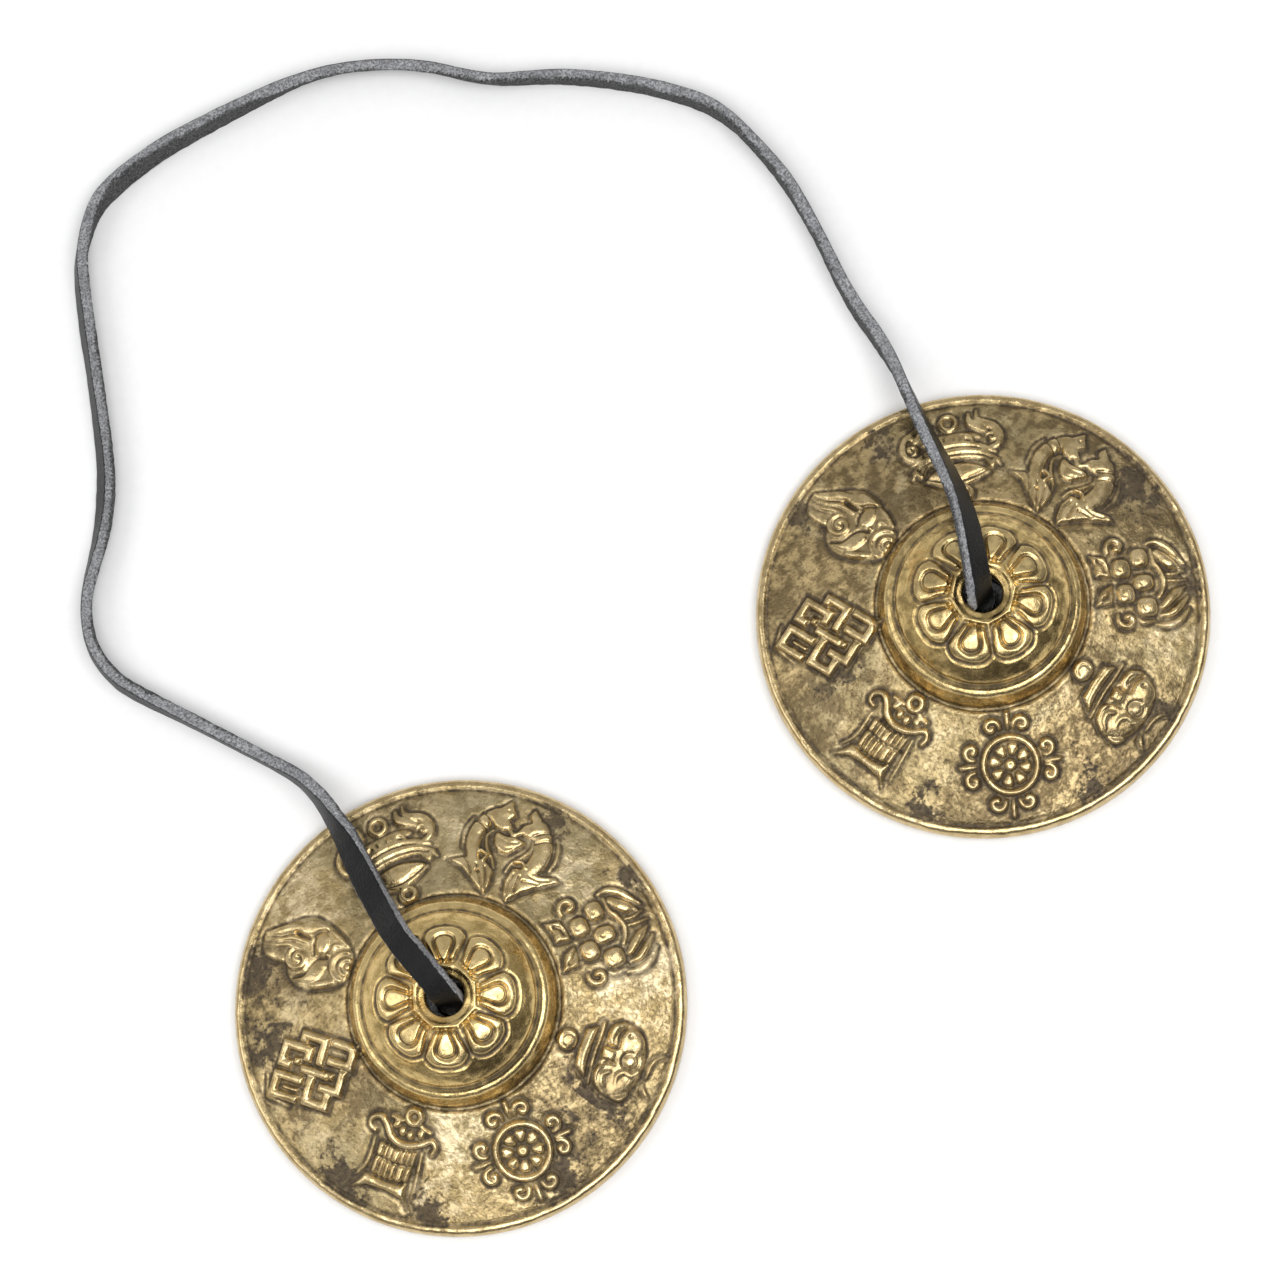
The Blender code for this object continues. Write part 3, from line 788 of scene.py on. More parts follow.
# %% Fish
def fish(board):
    """Two fish nose to nose."""
    left_tail = [
        (-5.2, -2.5), (-6.6, -3.2), (-8.2, -4.1), (-6.0, -4.5), (-4.4, -5.4), (-3.0, -6.4),
        (-1.4, -7.1), (-1.1, -5.4), (-1.3, -3.6), (-3.0, -2.5),
    ]
    board.pad(left_tail, 0.42, 0.35, 0.2)
    right_tail = [
        (3.6, -1.7), (5.2, -2.0), (7.0, -1.5), (8.2, -1.9), (6.5, -3.0), (5.0, -4.0),
        (3.5, -5.3), (1.9, -7.1), (1.1, -6.2), (0.6, -4.2), (1.0, -2.2),
    ]
    board.pad(right_tail, 0.42, 0.35, 0.2)
    left_head = [
        (-5.4, 4.0), (-4.0, 5.6), (-2.7, 7.2), (-2.1, 6.2), (-1.3, 5.2), (-2.0, 4.2),
        (-1.0, 3.2), (-2.4, 2.4), (-3.9, 2.6),
    ]
    board.pad(left_head, 0.48, 0.4, 0.25)
    right_head = [
        (3.8, 4.3), (2.2, 5.9), (0.8, 7.0), (0.3, 5.9), (1.0, 5.0), (0.1, 4.2), (-0.3, 3.1),
        (1.0, 2.6), (2.6, 2.8),
    ]
    board.pad(right_head, 0.48, 0.4, 0.25)
    left_back = [
        (-4.1, 4.5), (-5.3, 3.0), (-5.85, 0.9), (-5.5, -1.3), (-4.2, -3.6),
    ]
    board.ridge(left_back, 1.1, 0.72, (0.9, 0.75))
    board.ridge([(2.6, 4.6), (3.6, 3.0), (4.1, 1.1), (3.9, -0.8), (2.7, -3.0)], 1.35, 0.72, (0.8, 0.7))
    left_belly = [
        (-3.7, 2.3), (-4.25, 1.0), (-3.5, -0.7), (-2.3, -1.9), (-1.5, -3.2),
    ]
    board.ridge(left_belly, 0.26, 0.35, (0.5, 0.4))
    board.ridge([(2.2, 2.4), (2.45, 1.2), (1.7, -0.3), (0.6, -1.6), (0.2, -3.0)], 0.28, 0.4, (0.5, 0.4))
    board.ridge([(-1.8, 3.2), (-0.8, 2.4), (0.2, 3.1)], 0.34, 0.45)
    heart = [
        (-3.2, 2.0), (-1.9, 1.9), (-0.6, 2.1), (0.7, 2.0), (1.3, 1.6), (0.4, 0.4), (-0.4, -0.5),
        (-1.6, -0.7), (-2.8, 0.2),
    ]
    board.pad(heart, 0.48, 0.5, 0.25, soft=True)
    board.cut([(-2.7, 1.3), (-1.2, 0.9), (0.4, 1.4)], 0.22, 0.28)
    board.cut([(-2.0, 0.3), (-1.0, -0.05), (-0.1, 0.5)], 0.18, 0.18)
    board.ridge([(5.3, 4.0), (6.0, 2.6), (6.3, 0.8), (5.9, -0.8)], 0.3, 0.22, (0.4, 0.4))
    board.ridge([(-7.1, 3.0), (-7.5, 0.8), (-7.0, -1.6)], 0.24, 0.18, (0.4, 0.4))
    gills = (
        [(-6.0, 4.2), (-4.8, 3.5), (-3.8, 2.6)],
        [(-6.6, 2.7), (-5.4, 2.3), (-4.5, 1.8)],
        [(4.6, 4.6), (3.2, 3.9), (2.0, 3.1)],
        [(5.2, 3.3), (4.0, 2.9), (2.8, 2.2)],
    )
    for gill in gills:
        board.cut(gill, 0.26, 0.45)
    for eye in ((-2.6, 5.4), (0.7, 4.9)):
        board.pit(*eye, 0.32, 0.3)
    for fin in ([(-4.2, -1.3), (-3.1, -1.7), (-3.4, -2.7)], [(1.0, -1.4), (2.0, -1.1), (2.8, -1.8)]):
        board.ridge(fin, 0.3, 0.75)
    rays = (
        [(-5.9, -3.1), (-5.0, -3.8), (-4.3, -5.0)],
        [(-4.0, -3.4), (-3.0, -4.8), (-2.1, -6.4)],
        [(-2.7, -3.4), (-2.0, -4.8), (-1.6, -6.2)],
        [(1.6, -3.0), (1.3, -4.6), (1.7, -6.4)],
        [(2.5, -3.1), (2.5, -4.3), (2.6, -5.4)],
        [(3.8, -2.7), (5.0, -2.8), (6.6, -2.3)],
        [(3.4, -3.6), (4.3, -3.4), (5.3, -3.3)],
    )
    for ray in rays:
        board.cut(ray, 0.22, 0.36)
    for pit in ((-3.5, -4.4), (3.2, -3.7)):
        board.pit(*pit, 0.36, 0.4)


carve(fish)

# %% [markdown]
# ### Lotus
# The lotus is a heap of squarish round petals, three over two, between two curled leaves.
# Flames of longer petals rise behind it. The petals are bosses with a small dent, because an
# even dome looks like a ball bearing.

# %% Lotus
def lotus(board):
    """A heap of round petals with leaves below and flames above."""
    petals = (
        (-3.4, 0.35, 1.4, 0.9), (0.25, 0.3, 1.2, 1.25), (3.8, 0.25, 1.4, 1.05),
        (-2.1, -2.45, 1.42, 0.92), (1.6, -2.45, 1.42, 0.9),
    )
    for x, y, radius, squash in petals:
        board.boss(x, y, radius, 0.68, squash, square=2.8)
        board.cut(arc(x - 0.15, y + 0.05, radius * 0.5, 190, 320), 0.26, 0.16, soft=False)
    board.ridge(spiral(-5.3, -2.8, 0.35, 1.4, 0, 300), 0.46, 0.55, (1.0, 0.6), soft=False)
    board.ridge(spiral(5.3, -2.9, 0.35, 1.4, 180, -120), 0.46, 0.55, (1.0, 0.6), soft=False)
    left_leaf = [
        (-4.5, -6.8), (-4.0, -4.6), (-2.8, -4.3), (-0.8, -4.2), (-1.3, -6.3), (-2.9, -6.2),
    ]
    board.pad(left_leaf, 0.4, 0.35, 0.15)
    right_leaf = [
        (0.1, -4.2), (1.6, -4.3), (2.9, -4.7), (3.0, -7.1), (1.6, -6.4), (0.7, -5.8),
    ]
    board.pad(right_leaf, 0.4, 0.35, 0.15)
    board.cut([(-3.4, -5.7), (-2.8, -5.0), (-1.9, -4.8)], 0.42, 0.5)
    board.cut([(1.1, -4.6), (1.8, -5.0), (2.2, -5.8)], 0.42, 0.5)
    brow = [
        (-4.6, 2.2), (-2.6, 2.3), (-1.4, 2.9), (0.2, 3.3), (1.6, 2.9), (2.5, 2.2),
    ]
    board.ridge(brow, 0.38, 0.45, (0.5, 0.6))
    board.ridge([(-5.4, 1.8), (-5.5, 3.1), (-4.6, 4.5), (-3.2, 5.6), (-1.8, 6.7)], 0.58, 0.6, (0.4, 0.3))
    board.ridge([(-4.0, 3.0), (-3.3, 3.6), (-2.4, 4.3), (-1.2, 5.9)], 0.82, 0.66, (0.6, 0.25))
    board.ridge([(4.0, 2.5), (3.4, 3.3), (2.5, 4.4), (1.4, 6.2)], 0.68, 0.66, (0.6, 0.25))
    board.ridge([(5.2, 2.2), (5.1, 3.5), (4.2, 4.8), (2.9, 6.4)], 0.56, 0.6, (0.5, 0.3))
    board.ridge([(6.4, 1.2), (6.7, 3.1), (6.0, 4.8), (4.7, 6.2)], 0.5, 0.22, (0.4, 0.4))
    board.ridge([(5.9, 1.0), (5.9, -0.6), (5.3, -1.2)], 0.3, 0.2, (0.4, 0.4))
    board.ridge([(0.3, 3.9), (0.5, 5.2), (0.5, 6.7)], 0.24, 0.35, (0.7, 0.6))
    board.ridge([(-0.7, 3.9), (-0.5, 5.0), (-0.9, 6.5)], 0.24, 0.35, (0.7, 0.6))


carve(lotus)

# %% [markdown]
# ### Vase
# The vase of plenty lies with its foot to the hub: a ball, a collar, and a full round body with
# scrolled leaves, which stands highest of all the carving. A little of its drapery shows at the
# rim.

# %% Vase
def vase(board):
    """A full round body between its foot and the drapery at the rim."""
    body = [
        (-5.6, 1.0), (-5.1, 3.0), (-3.4, 4.5), (-0.8, 5.1), (2.0, 4.9), (4.3, 3.8), (5.2, 2.0),
        (4.7, 0.3), (3.0, -0.8), (0.9, -0.9), (-1.0, -1.0), (-3.2, -0.9), (-5.0, -0.2),
    ]
    board.pad(body, 0.32, 0.9, 0.2, soft=True)
    board.boss(-3.0, 2.5, 2.0, 0.62, 0.95, foot=0.28, turn=35)
    board.pit(-3.9, 2.0, 0.34, 0.4)
    board.boss(-0.6, 3.1, 0.85, 0.4, 1.0, foot=0.4)
    board.cut(arc(-0.6, 3.1, 1.15, 180, 500), 0.26, 0.3, soft=False)
    upper_scroll = [
        (0.4, 4.6), (1.2, 3.9), (1.1, 2.8), (2.0, 2.0), (3.4, 2.3),
    ]
    board.ridge(upper_scroll, 0.5, 0.5, (0.7, 0.5), foot=0.3)
    board.ridge([(3.9, 4.2), (4.8, 3.4), (5.0, 2.4)], 0.42, 0.45, (0.5, 0.5), foot=0.25)
    board.ridge([(1.7, 0.9), (2.4, 0.1), (3.4, 0.3), (4.3, 1.2)], 0.55, 0.55, (0.7, 0.5), foot=0.28)
    lower_scroll = [
        (0.6, 0.9), (1.0, -0.1), (2.3, -0.75), (3.8, -0.3), (4.8, 0.9),
    ]
    board.ridge(lower_scroll, 0.4, 0.5, (0.6, 0.5), foot=0.2)
    board.ridge([(-5.2, 0.9), (-4.3, -0.2), (-3.0, -0.4), (-2.2, 0.0)], 0.58, 0.5, (0.6, 0.6), foot=0.25)
    board.pad([(-1.2, 0.9), (0.2, 0.9), (0.35, -0.9), (-1.4, -1.1)], 0.5, 0.3, 0.1, foot=0.25)
    board.cut([(-5.0, 1.3), (-3.5, 0.75), (-2.0, 0.95), (-1.6, 0.2), (-1.7, -0.5)], 0.3, 0.5)
    board.cut([(0.5, 1.2), (0.65, 0.2), (1.2, -0.5)], 0.24, 0.4)
    board.band([(-4.6, -1.9), (-2.2, -1.75), (0.6, -1.75), (4.2, -1.3)], 0.26, 0.3)
    collar = [
        (-3.8, -2.4), (-1.2, -2.5), (1.4, -2.4), (3.9, -1.9), (2.6, -3.8), (0, -4.05),
        (-2.9, -3.9),
    ]
    board.pad(collar, 0.52, 0.4, 0.25)
    board.cut([(-3.4, -3.4), (0, -3.6), (2.8, -3.2)], 0.16, 0.2)
    board.boss(-0.5, -5.9, 1.6, 0.7, 0.88)
    board.cut(arc(-0.4, -5.8, 0.95, 150, 350), 0.2, 0.24, soft=False)
    board.ridge([(-2.9, 7.3), (-2.2, 6.5), (-1.0, 6.0), (0.8, 6.0)], 0.28, 0.32, (0.4, 0.5))
    board.ridge([(3.4, 7.2), (2.8, 6.4), (2.0, 5.9)], 0.26, 0.32, (0.4, 0.5))


carve(vase)

# %% [markdown]
# ### Wheel
# The wheel has eight leaf-shaped spokes round a hub, a plain felloe, and eight chunky curls
# outside it with four small points between them, so its parts are made by loops.

# %% Wheel
def wheel(board):
    """Hub, spokes, felloe and eight curls."""
    board.ridge(arc(0, 0, 3.8, 0, 360), 0.46, 0.58, soft=False)
    board.boss(0, 0, 0.82, 0.55)
    board.pit(0, 0, 0.3, 0.2)
    for number in range(8):
        turn = math.radians(number * 45 + 28)
        corners = ((1.3, -0.22), (2.5, -0.34), (3.05, -0.2), (3.05, 0.2), (2.5, 0.34), (1.3, 0.22))
        spoke = [(r * math.cos(turn + a), r * math.sin(turn + a)) for r, a in corners]
        board.pad(spoke, 0.4, 0.32, 0.2)
    curls = (
        (5.45, 1.5, 1), (2.7, 4.9, -1), (-1.7, 5.1, 1), (-5.2, 1.9, -1),
        (-5.3, -1.8, 1), (-2.4, -5.2, -1), (1.9, -5.3, 1), (5.1, -2.5, -1),
    )
    for x, y, way in curls:
        turn = math.degrees(math.atan2(y, x)) + 180
        curl = spiral(x, y, 0.25, 1.2, turn + way * 20, turn - way * 300)
        board.ridge(curl, 0.48, 0.6, (1.0, 0.7), soft=False)
    for turn in (-95, -5, 85, 178):
        c, s = math.cos(math.radians(turn)), math.sin(math.radians(turn))
        board.ridge([(4.9 * c, 4.9 * s), (5.9 * c, 5.9 * s), (7.0 * c, 7.0 * s)], 0.42, 0.45, (0.5, 0.9))


carve(wheel)

# %% [markdown]
# ### Banner
# The banner of victory is a drum of upright pleats in two rows, under a flared top and over a
# curling roof band. The drum is raised first, and the pleats are left standing between cuts.

# %% Banner
def banner(board):
    """A pleated drum under a curling roof band."""
    flared_top = [
        (-3.1, 6.6), (-2.0, 5.5), (0.6, 5.1), (3.4, 5.2), (5.8, 6.4), (4.5, 4.6), (4.0, 3.5),
        (2.2, 3.8), (0.6, 3.95), (-0.9, 3.75), (-2.1, 3.1), (-2.3, 4.6),
    ]
    board.pad(flared_top, 0.5, 0.5, 0.25)
    drum = [
        (-2.1, 3.0), (-0.8, 3.4), (0.6, 3.6), (2.2, 3.5), (3.4, 3.2), (3.3, 1.0), (3.3, -1.2),
        (0.6, -0.9), (-2.3, -1.5), (-2.2, 1.0),
    ]
    board.pad(drum, 0.5, 0.25, 0.05)
    for x in (-1.35, -0.15, 0.8, 1.65, 2.45):
        board.cut([(x, 3.6), (x - 0.03, 1.2)], 0.27, 0.48, soft=False)
    for x in (-1.75, -0.95, -0.1, 1.15, 1.6, 2.35):
        board.cut([(x, 0.7), (x - 0.06, -1.4)], 0.25, 0.48, soft=False)
    board.cut([(-2.4, 0.8), (0.6, 1.05), (3.5, 0.75)], 0.26, 0.5)
    board.ridge([(-3.4, 5.0), (-3.3, 2.6), (-3.1, 0.4), (-2.9, -1.4)], 0.24, 0.2, (0.4, 0.6))
    board.ridge([(5.4, 4.4), (4.4, 2.8), (4.1, 0.8), (4.2, -1.4)], 0.26, 0.24, (0.4, 0.6))
    roof_band = [
        (-4.3, -1.7), (-4.5, -2.8), (-3.7, -3.5), (-2.4, -2.6), (-0.9, -1.9), (0.6, -1.8),
        (2.0, -2.4), (3.1, -3.8), (4.2, -4.5), (5.3, -3.9), (5.3, -2.8), (4.4, -2.4),
    ]
    board.ridge(roof_band, 0.55, 0.62, (0.6, 0.6))
    for x, y, turn in ((-2.0, -3.9, 30), (-0.6, -3.3, 0), (0.6, -3.5, 10), (1.7, -4.2, -25)):
        board.boss(x, y, 0.56, 0.5, 1.25, turn=turn)
    board.ridge([(-3.2, -4.5), (-2.2, -4.7), (-1.6, -5.0)], 0.34, 0.35)
    board.ridge([(2.6, -5.0), (1.6, -5.0), (1.0, -4.9)], 0.34, 0.35)
    board.ridge(arc(-0.4, -5.9, 0.98, 0, 360), 0.48, 0.58, soft=False)


carve(banner)

# %% [markdown]
# ### Endless knot
# The endless knot is one flat strip without an end, and the carver has drawn it as interlocked
# hooks with square corners round small bosses. All of it runs along two directions, so it is
# drawn upright on a lattice and turned. The dark gaps between the hooks are what is left.

# %% Endless knot
KNOT_TURN = 47.0


def endless_knot(board):
    """Interlocked hooks round small bosses."""
    hooks = (
        [(-0.4, 0.9), (-0.4, 4.0), (-3.5, 4.0), (-3.5, 2.5)],
        [(1.3, 4.2), (4.7, 4.2), (4.7, 1.4), (1.2, 1.4)],
        [(3.6, -0.3), (4.6, -0.3), (4.6, -3.0), (0.9, -3.0), (0.9, -1.9)],
        [(-1.0, -1.9), (-1.0, -4.9), (2.2, -4.9), (2.2, -4.4)],
        [(-2.2, -0.25), (0.9, -0.25)],
        [(-2.4, 1.5), (-4.8, 1.5), (-4.8, -1.1)],
        [(-2.6, -2.4), (-5.5, -2.4), (-5.5, -5.0), (-2.5, -5.0)],
    )
    for corners in hooks:
        board.strip(corners, 0.68, 0.55, KNOT_TURN)
    board.strip([(1.3, 2.9), (3.2, 2.9)], 0.3, 0.45, KNOT_TURN)
    board.strip([(2.3, -1.1), (2.3, -1.0)], 0.55, 0.5, KNOT_TURN)
    board.strip([(-3.2, -0.4), (-3.2, -0.3)], 0.5, 0.5, KNOT_TURN)
    board.ridge([(-2.8, 5.0), (0.0, 7.2), (2.9, 5.9)], 0.24, 0.24, (0.5, 0.5), soft=False)


carve(endless_knot)

# %% [markdown]
# ### Conch
# The conch shell winds from its eye to a long fluted mouth. A low body is raised first, and the
# whorl, the flutes, the lips and the little fan at its foot are laid over it.

# %% Conch
def conch(board):
    """A whorl that opens into a fluted mouth."""
    shell = [
        (-2.6, 6.2), (-1.0, 6.9), (0.4, 6.9), (1.6, 5.2), (3.4, 3.2), (4.6, 1.0), (4.6, -1.2),
        (3.8, -3.4), (2.4, -5.8), (0.8, -7.2), (-2.0, -7.3), (-3.8, -5.8), (-5.1, -3.0),
        (-5.4, -0.6), (-4.4, 1.4), (-2.9, 2.5), (-3.1, 4.4),
    ]
    board.pad(shell, 0.2, 0.4, 0.1, soft=True)
    board.ridge(spiral(-1.65, 0.7, 0.3, 1.8, 170, -330), 0.48, 0.7, (1.1, 0.7), soft=False, foot=0.12)
    board.ridge([(-0.2, 1.0), (-0.1, 2.6), (-0.8, 4.6), (-1.1, 6.6)], 0.46, 0.62, (0.7, 0.4), foot=0.12)
    board.ridge([(0.95, 0.2), (0.9, 2.4), (0.1, 4.4), (-0.3, 6.7)], 0.42, 0.62, (0.7, 0.4), foot=0.12)
    board.ridge([(3.0, 1.2), (2.1, 3.4), (1.2, 4.8), (0.4, 6.7)], 0.78, 0.66, (0.7, 0.4), foot=0.12)
    left_flute = [
        (-2.9, 2.9), (-2.8, 5.6), (-1.8, 5.9), (-1.3, 3.9), (-1.9, 2.8),
    ]
    board.pad(left_flute, 0.42, 0.4, 0.15, soft=True, foot=0.1)
    right_lip = [
        (1.9, 1.6), (3.5, 1.8), (4.4, 0.2), (4.1, -2.0), (3.3, -2.0), (2.3, -0.5),
    ]
    board.pad(right_lip, 0.45, 0.5, 0.2, soft=True, foot=0.1)
    lower_lip = [
        (-0.3, -1.9), (1.1, -1.0), (2.6, -1.2), (3.1, -2.4), (1.5, -3.2), (0.2, -2.9),
    ]
    board.pad(lower_lip, 0.52, 0.5, 0.2, soft=True, foot=0.1)
    swelling = [
        (-4.7, 0.4), (-3.7, -0.9), (-2.2, -1.5), (-1.0, -2.2), (-0.6, -3.4), (-1.8, -3.9),
        (-3.0, -3.6), (-4.3, -2.6),
    ]
    board.pad(swelling, 0.5, 0.45, 0.2, soft=True, foot=0.1)
    board.ridge([(-4.6, -2.6), (-4.0, -4.0), (-3.0, -5.6)], 0.6, 0.6, (0.8, 0.6), foot=0.1)
    board.cut([(-4.4, 0.6), (-3.4, -0.9), (-1.8, -1.5), (-0.7, -2.2), (-0.3, -3.4)], 0.24, 0.4)
    board.cut([(-0.4, -1.3), (0.8, -0.75), (1.9, -0.6)], 0.24, 0.45)
    board.cut([(2.1, -0.3), (2.9, -1.0), (3.4, -2.0)], 0.24, 0.45)
    board.cut([(1.75, 2.3), (1.55, 1.2), (1.6, 0.2)], 0.3, 0.55)
    board.ridge(arc(-0.6, -6.6, 2.1, 12, 172), 0.42, 0.62, (0.7, 0.7), soft=False, foot=0.12)
    board.ridge(arc(-0.6, -6.9, 1.15, 5, 175), 0.38, 0.58, (0.7, 0.7), soft=False, foot=0.12)
    board.boss(-0.5, -7.0, 0.6, 0.5, foot=0.1)
    board.ridge([(0.6, -4.3), (1.7, -3.9), (2.1, -5.2)], 0.36, 0.5, (0.7, 0.5), foot=0.12)
    board.ridge([(3.5, -2.7), (3.0, -4.2), (2.3, -5.8)], 0.44, 0.55, (0.6, 0.5), foot=0.12)
    for x, y in ((-2.2, -3.2), (-1.5, -3.5), (0.2, -3.4)):
        board.boss(x, y, 0.3, 0.35, foot=0.45)


carve(conch)

# %% [markdown]
# ## Petals round the hub
# Eight petals stand round the hole like an open lotus, all alike, so one is carved and struck
# eight times. Each is a broad lobe that touches its neighbours. A horseshoe cut leaves a rim
# round a tongue, and the low welt outside gives the whole flower its thin outer line.

# %% Petal
PETAL_BOARD = 4.2


def petal():
    """One petal, its tip outwards, on a small board."""
    board = Board(PETAL_BOARD)
    lobe = [
        (-1.25, -1.9), (-1.95, -0.9), (-2.7, 0.5), (-2.95, 1.5), (-2.0, 2.65), (0, 3.05),
        (2.0, 2.65), (2.95, 1.5), (2.7, 0.5), (1.95, -0.9), (1.25, -1.9),
    ]
    board.pad(lobe, 0.46, 0.6, 0.12, soft=True)
    horseshoe = [
        (-0.55, -2.0), (-0.9, -1.0), (-1.4, 0.4), (-1.1, 1.35), (0, 1.75), (1.1, 1.35),
        (1.4, 0.4), (0.9, -1.0), (0.55, -2.0),
    ]
    board.cut(horseshoe, 0.36, 0.5)
    return board.finish(moat=0.12, reach=0.2, welt=0.08, soft=0.09)


petal_board = petal()
print(f"petal: {petal_board.height.max():.2f} mm high")

# %% [markdown]
# ## Strike the carving into the casting
# The boards are set round the axis, the figures on the field and the petals on the dome. Bands
# turned on the lathe are added as soft rings: two grooves and a bead at the ring, a groove
# inside the rim, and a lip round the hole. Every point of the outer face looks up its height and
# moves out along the normal of the section.

# %% Relief
FIGURE_REACH = 22.8
FIGURE_ANGLES = (99, 54, 9, -36, -81, -126, -171, 144)
PICTURE_TURN = -36.5
PETALS = 8
PETAL_REACH = 6.8
PETAL_TURN = -14.0
MOULDINGS = (
    (12.5, 0.24, -0.3), (13.4, 0.6, 0.36), (15.15, 0.32, -0.36),
    (15.9, 0.35, 0.08), (30.85, 0.24, -0.16), (4.3, 0.34, 0.2),
)
LIP_REACH = 4.4
LIP_FADE = 0.8


def relief(reach, angle):
    """Height and hollowness of the carving at a distance from the axis and an angle round it."""
    height = np.zeros_like(reach)
    hollow = np.zeros_like(reach)
    places = [(board, turn, FIGURE_REACH) for board, turn in zip(figures, FIGURE_ANGLES)]
    for number in range(PETALS):
        places.append((petal_board, PETAL_TURN + 360 / PETALS * number, PETAL_REACH))
    for board, turn, middle in places:
        off = math.radians(turn + PICTURE_TURN) - angle
        x, y = reach * np.sin(off), reach * np.cos(off) - middle
        height += board.sample(board.height, x, y)
        hollow = np.maximum(hollow, board.sample(board.hollow, x, y))
    for place, width, lift in MOULDINGS:
        band = np.exp(-(((reach - place) / width) ** 2))
        height += lift * band
        hollow = np.maximum(hollow, band * (lift < 0))
    return height, hollow * np.clip((reach - LIP_REACH) / LIP_FADE, 0, 1)


print("petals and figures:", PETALS, "and", len(figures), "in", len(MOULDINGS), "mouldings")

# %% Carve the casting
def polar(mesh):
    """Every point of a mesh, its distance from the axis and its angle round it."""
    places = np.empty(len(mesh.vertices) * 3)
    mesh.vertices.foreach_get("co", places)
    places = places.reshape(-1, 3)
    return places, np.hypot(places[:, 0], places[:, 1]), np.arctan2(places[:, 1], places[:, 0])


def carve_casting(mesh):
    """Move the outer face out by the relief, along the section's normals."""
    numbers = np.empty(len(mesh.vertices))
    mesh.attributes["section"].data.foreach_get("value", numbers)
    numbers = np.rint(numbers).astype(int)
    _, _, angles = polar(mesh)
    reach, rise = section[numbers].T
    places = np.stack([reach * np.cos(angles), reach * np.sin(angles), rise], 1)
    run = np.gradient(upper, axis=0)
    normals = np.stack([-run[:, 1], run[:, 0]], 1) / np.linalg.norm(run, axis=1)[:, None]
    outer = numbers < len(upper)
    reach = np.hypot(places[outer, 0], places[outer, 1])
    angle = np.arctan2(places[outer, 1], places[outer, 0])
    height, _ = relief(reach, angle)
    normal = normals[numbers[outer]] * height[:, None]
    places[outer, 0] += normal[:, 0] * np.cos(angle)
    places[outer, 1] += normal[:, 0] * np.sin(angle)
    places[outer, 2] += normal[:, 1]
    mesh.vertices.foreach_set("co", (places * MM).ravel())
    mesh.attributes.remove(mesh.attributes["section"])
    mesh.update()


carve_casting(casting)
print("carved, mm high:", round(float(max(vert.co.z for vert in casting.vertices)) / MM, 2))

# %% [markdown]
# ## Thin the mesh
# The casting is now far finer than it needs to be where nothing is carved. Decimate joins the
# faces there and keeps its points for the reliefs.

# %% Thin
TRIANGLES = 194000


def count_triangles(mesh):
    """How many triangles a mesh has once every face is cut into them."""
    return sum(len(face.vertices) - 2 for face in mesh.polygons)


def thin_out(mesh):
    """Decimate a mesh to the number of triangles that a piece may have."""
    before = count_triangles(mesh)
    thinned = with_modifier(mesh, "DECIMATE", ratio=TRIANGLES / before)
    print(f"thinned from {before} to {count_triangles(thinned)} triangles")
    return thinned


casting = thin_out(casting)

# %% [markdown]
# ## Two cymbals
# Both cymbals are the same casting, the left one turned by 16 degrees. They have aged apart, so
# each has its own list of dark stains and of places that are lighter or darker. These places are
# partly real wear, rubbed bright or gone dull, and partly painted light: painted highlight where
# light falls on the field and the dome, painted shade where it falls away, and painted dark
# reflections on the dome. A place is given by its angle in the picture, anticlockwise from the
# right, its distance from the axis and its size. A wear and shading spot also has an amount:
# above 0 is bright, below 0 is dull. Each point of the mesh keeps how hollow it lies, how much
# it stands proud, and what the spots add up to there, for the material to read.

# %% Where each cymbal is stained, worn, and painted lighter or darker
CASTING_TURNS = {"left": 16.0, "right": 0.0}
STAINS = {
    "left": [
        (170, 29.5, 5.5), (163, 18, 3.0), (190, 27, 5.0), (236, 30, 5.0), (262, 29, 4.0),
        (300, 28, 5.0), (326, 24, 6.5), (62, 30, 3.5), (36, 31, 3.0),
    ],
    "right": [
        (38, 28, 6.0), (8, 30, 3.5), (120, 29, 3.5), (150, 29, 4.0), (205, 22, 3.5),
        (252, 29, 3.5), (300, 30, 3.0), (330, 30, 3.0),
    ],
}
# Each spot lightens or darkens the metal: partly real wear, partly painted highlight and painted shade
# where light falls on the field and the dome, and painted dark reflections on the dome.
WEAR_AND_PAINTED_SHADING = {
    "left": [
        (4, 24, 5.5, 0.75), (12, 30, 4, 0.9), (268, 18, 4.5, 1.0), (226, 25, 4, 1.0),
        (147, 27, 5.5, 0.8), (48, 25, 4.5, 0.6), (263, 27, 3, 0.7), (91, 26, 4, 0.5),
        (325, 24, 7, -1.3), (215, 26, 5, -0.9), (226, 18, 4, -1.0), (305, 30, 5, -0.7),
        (30, 30, 3.5, -0.9), (105, 29, 4, -0.8), (172, 27, 5, -1.0), (308, 10, 4.5, -1.2),
        (30, 8, 4, 0.6), (190, 30, 4, -0.8), (237, 31, 4, -1.0), (169, 30, 4, -0.8),
    ],
    "right": [
        (349, 27, 5, 1.0), (249, 18, 4.5, 0.7), (150, 31, 3, 0.5), (286, 16, 3.5, 0.4),
        (270, 30, 5.5, -1.0), (35, 28, 6, -0.9), (78, 17, 5, 0.1), (178, 29, 5, -0.7),
        (130, 20, 5, -0.7), (285, 26, 3, -0.7), (211, 28, 6, -0.6), (60, 30, 4, -0.5),
        (316, 27, 8, -1.0), (270, 10, 4, -0.8), (148, 22, 5, -0.6),
    ],
}
WEAR_AND_PAINTED_SHADING_ALL_OVER = {"left": -0.1, "right": -0.45}


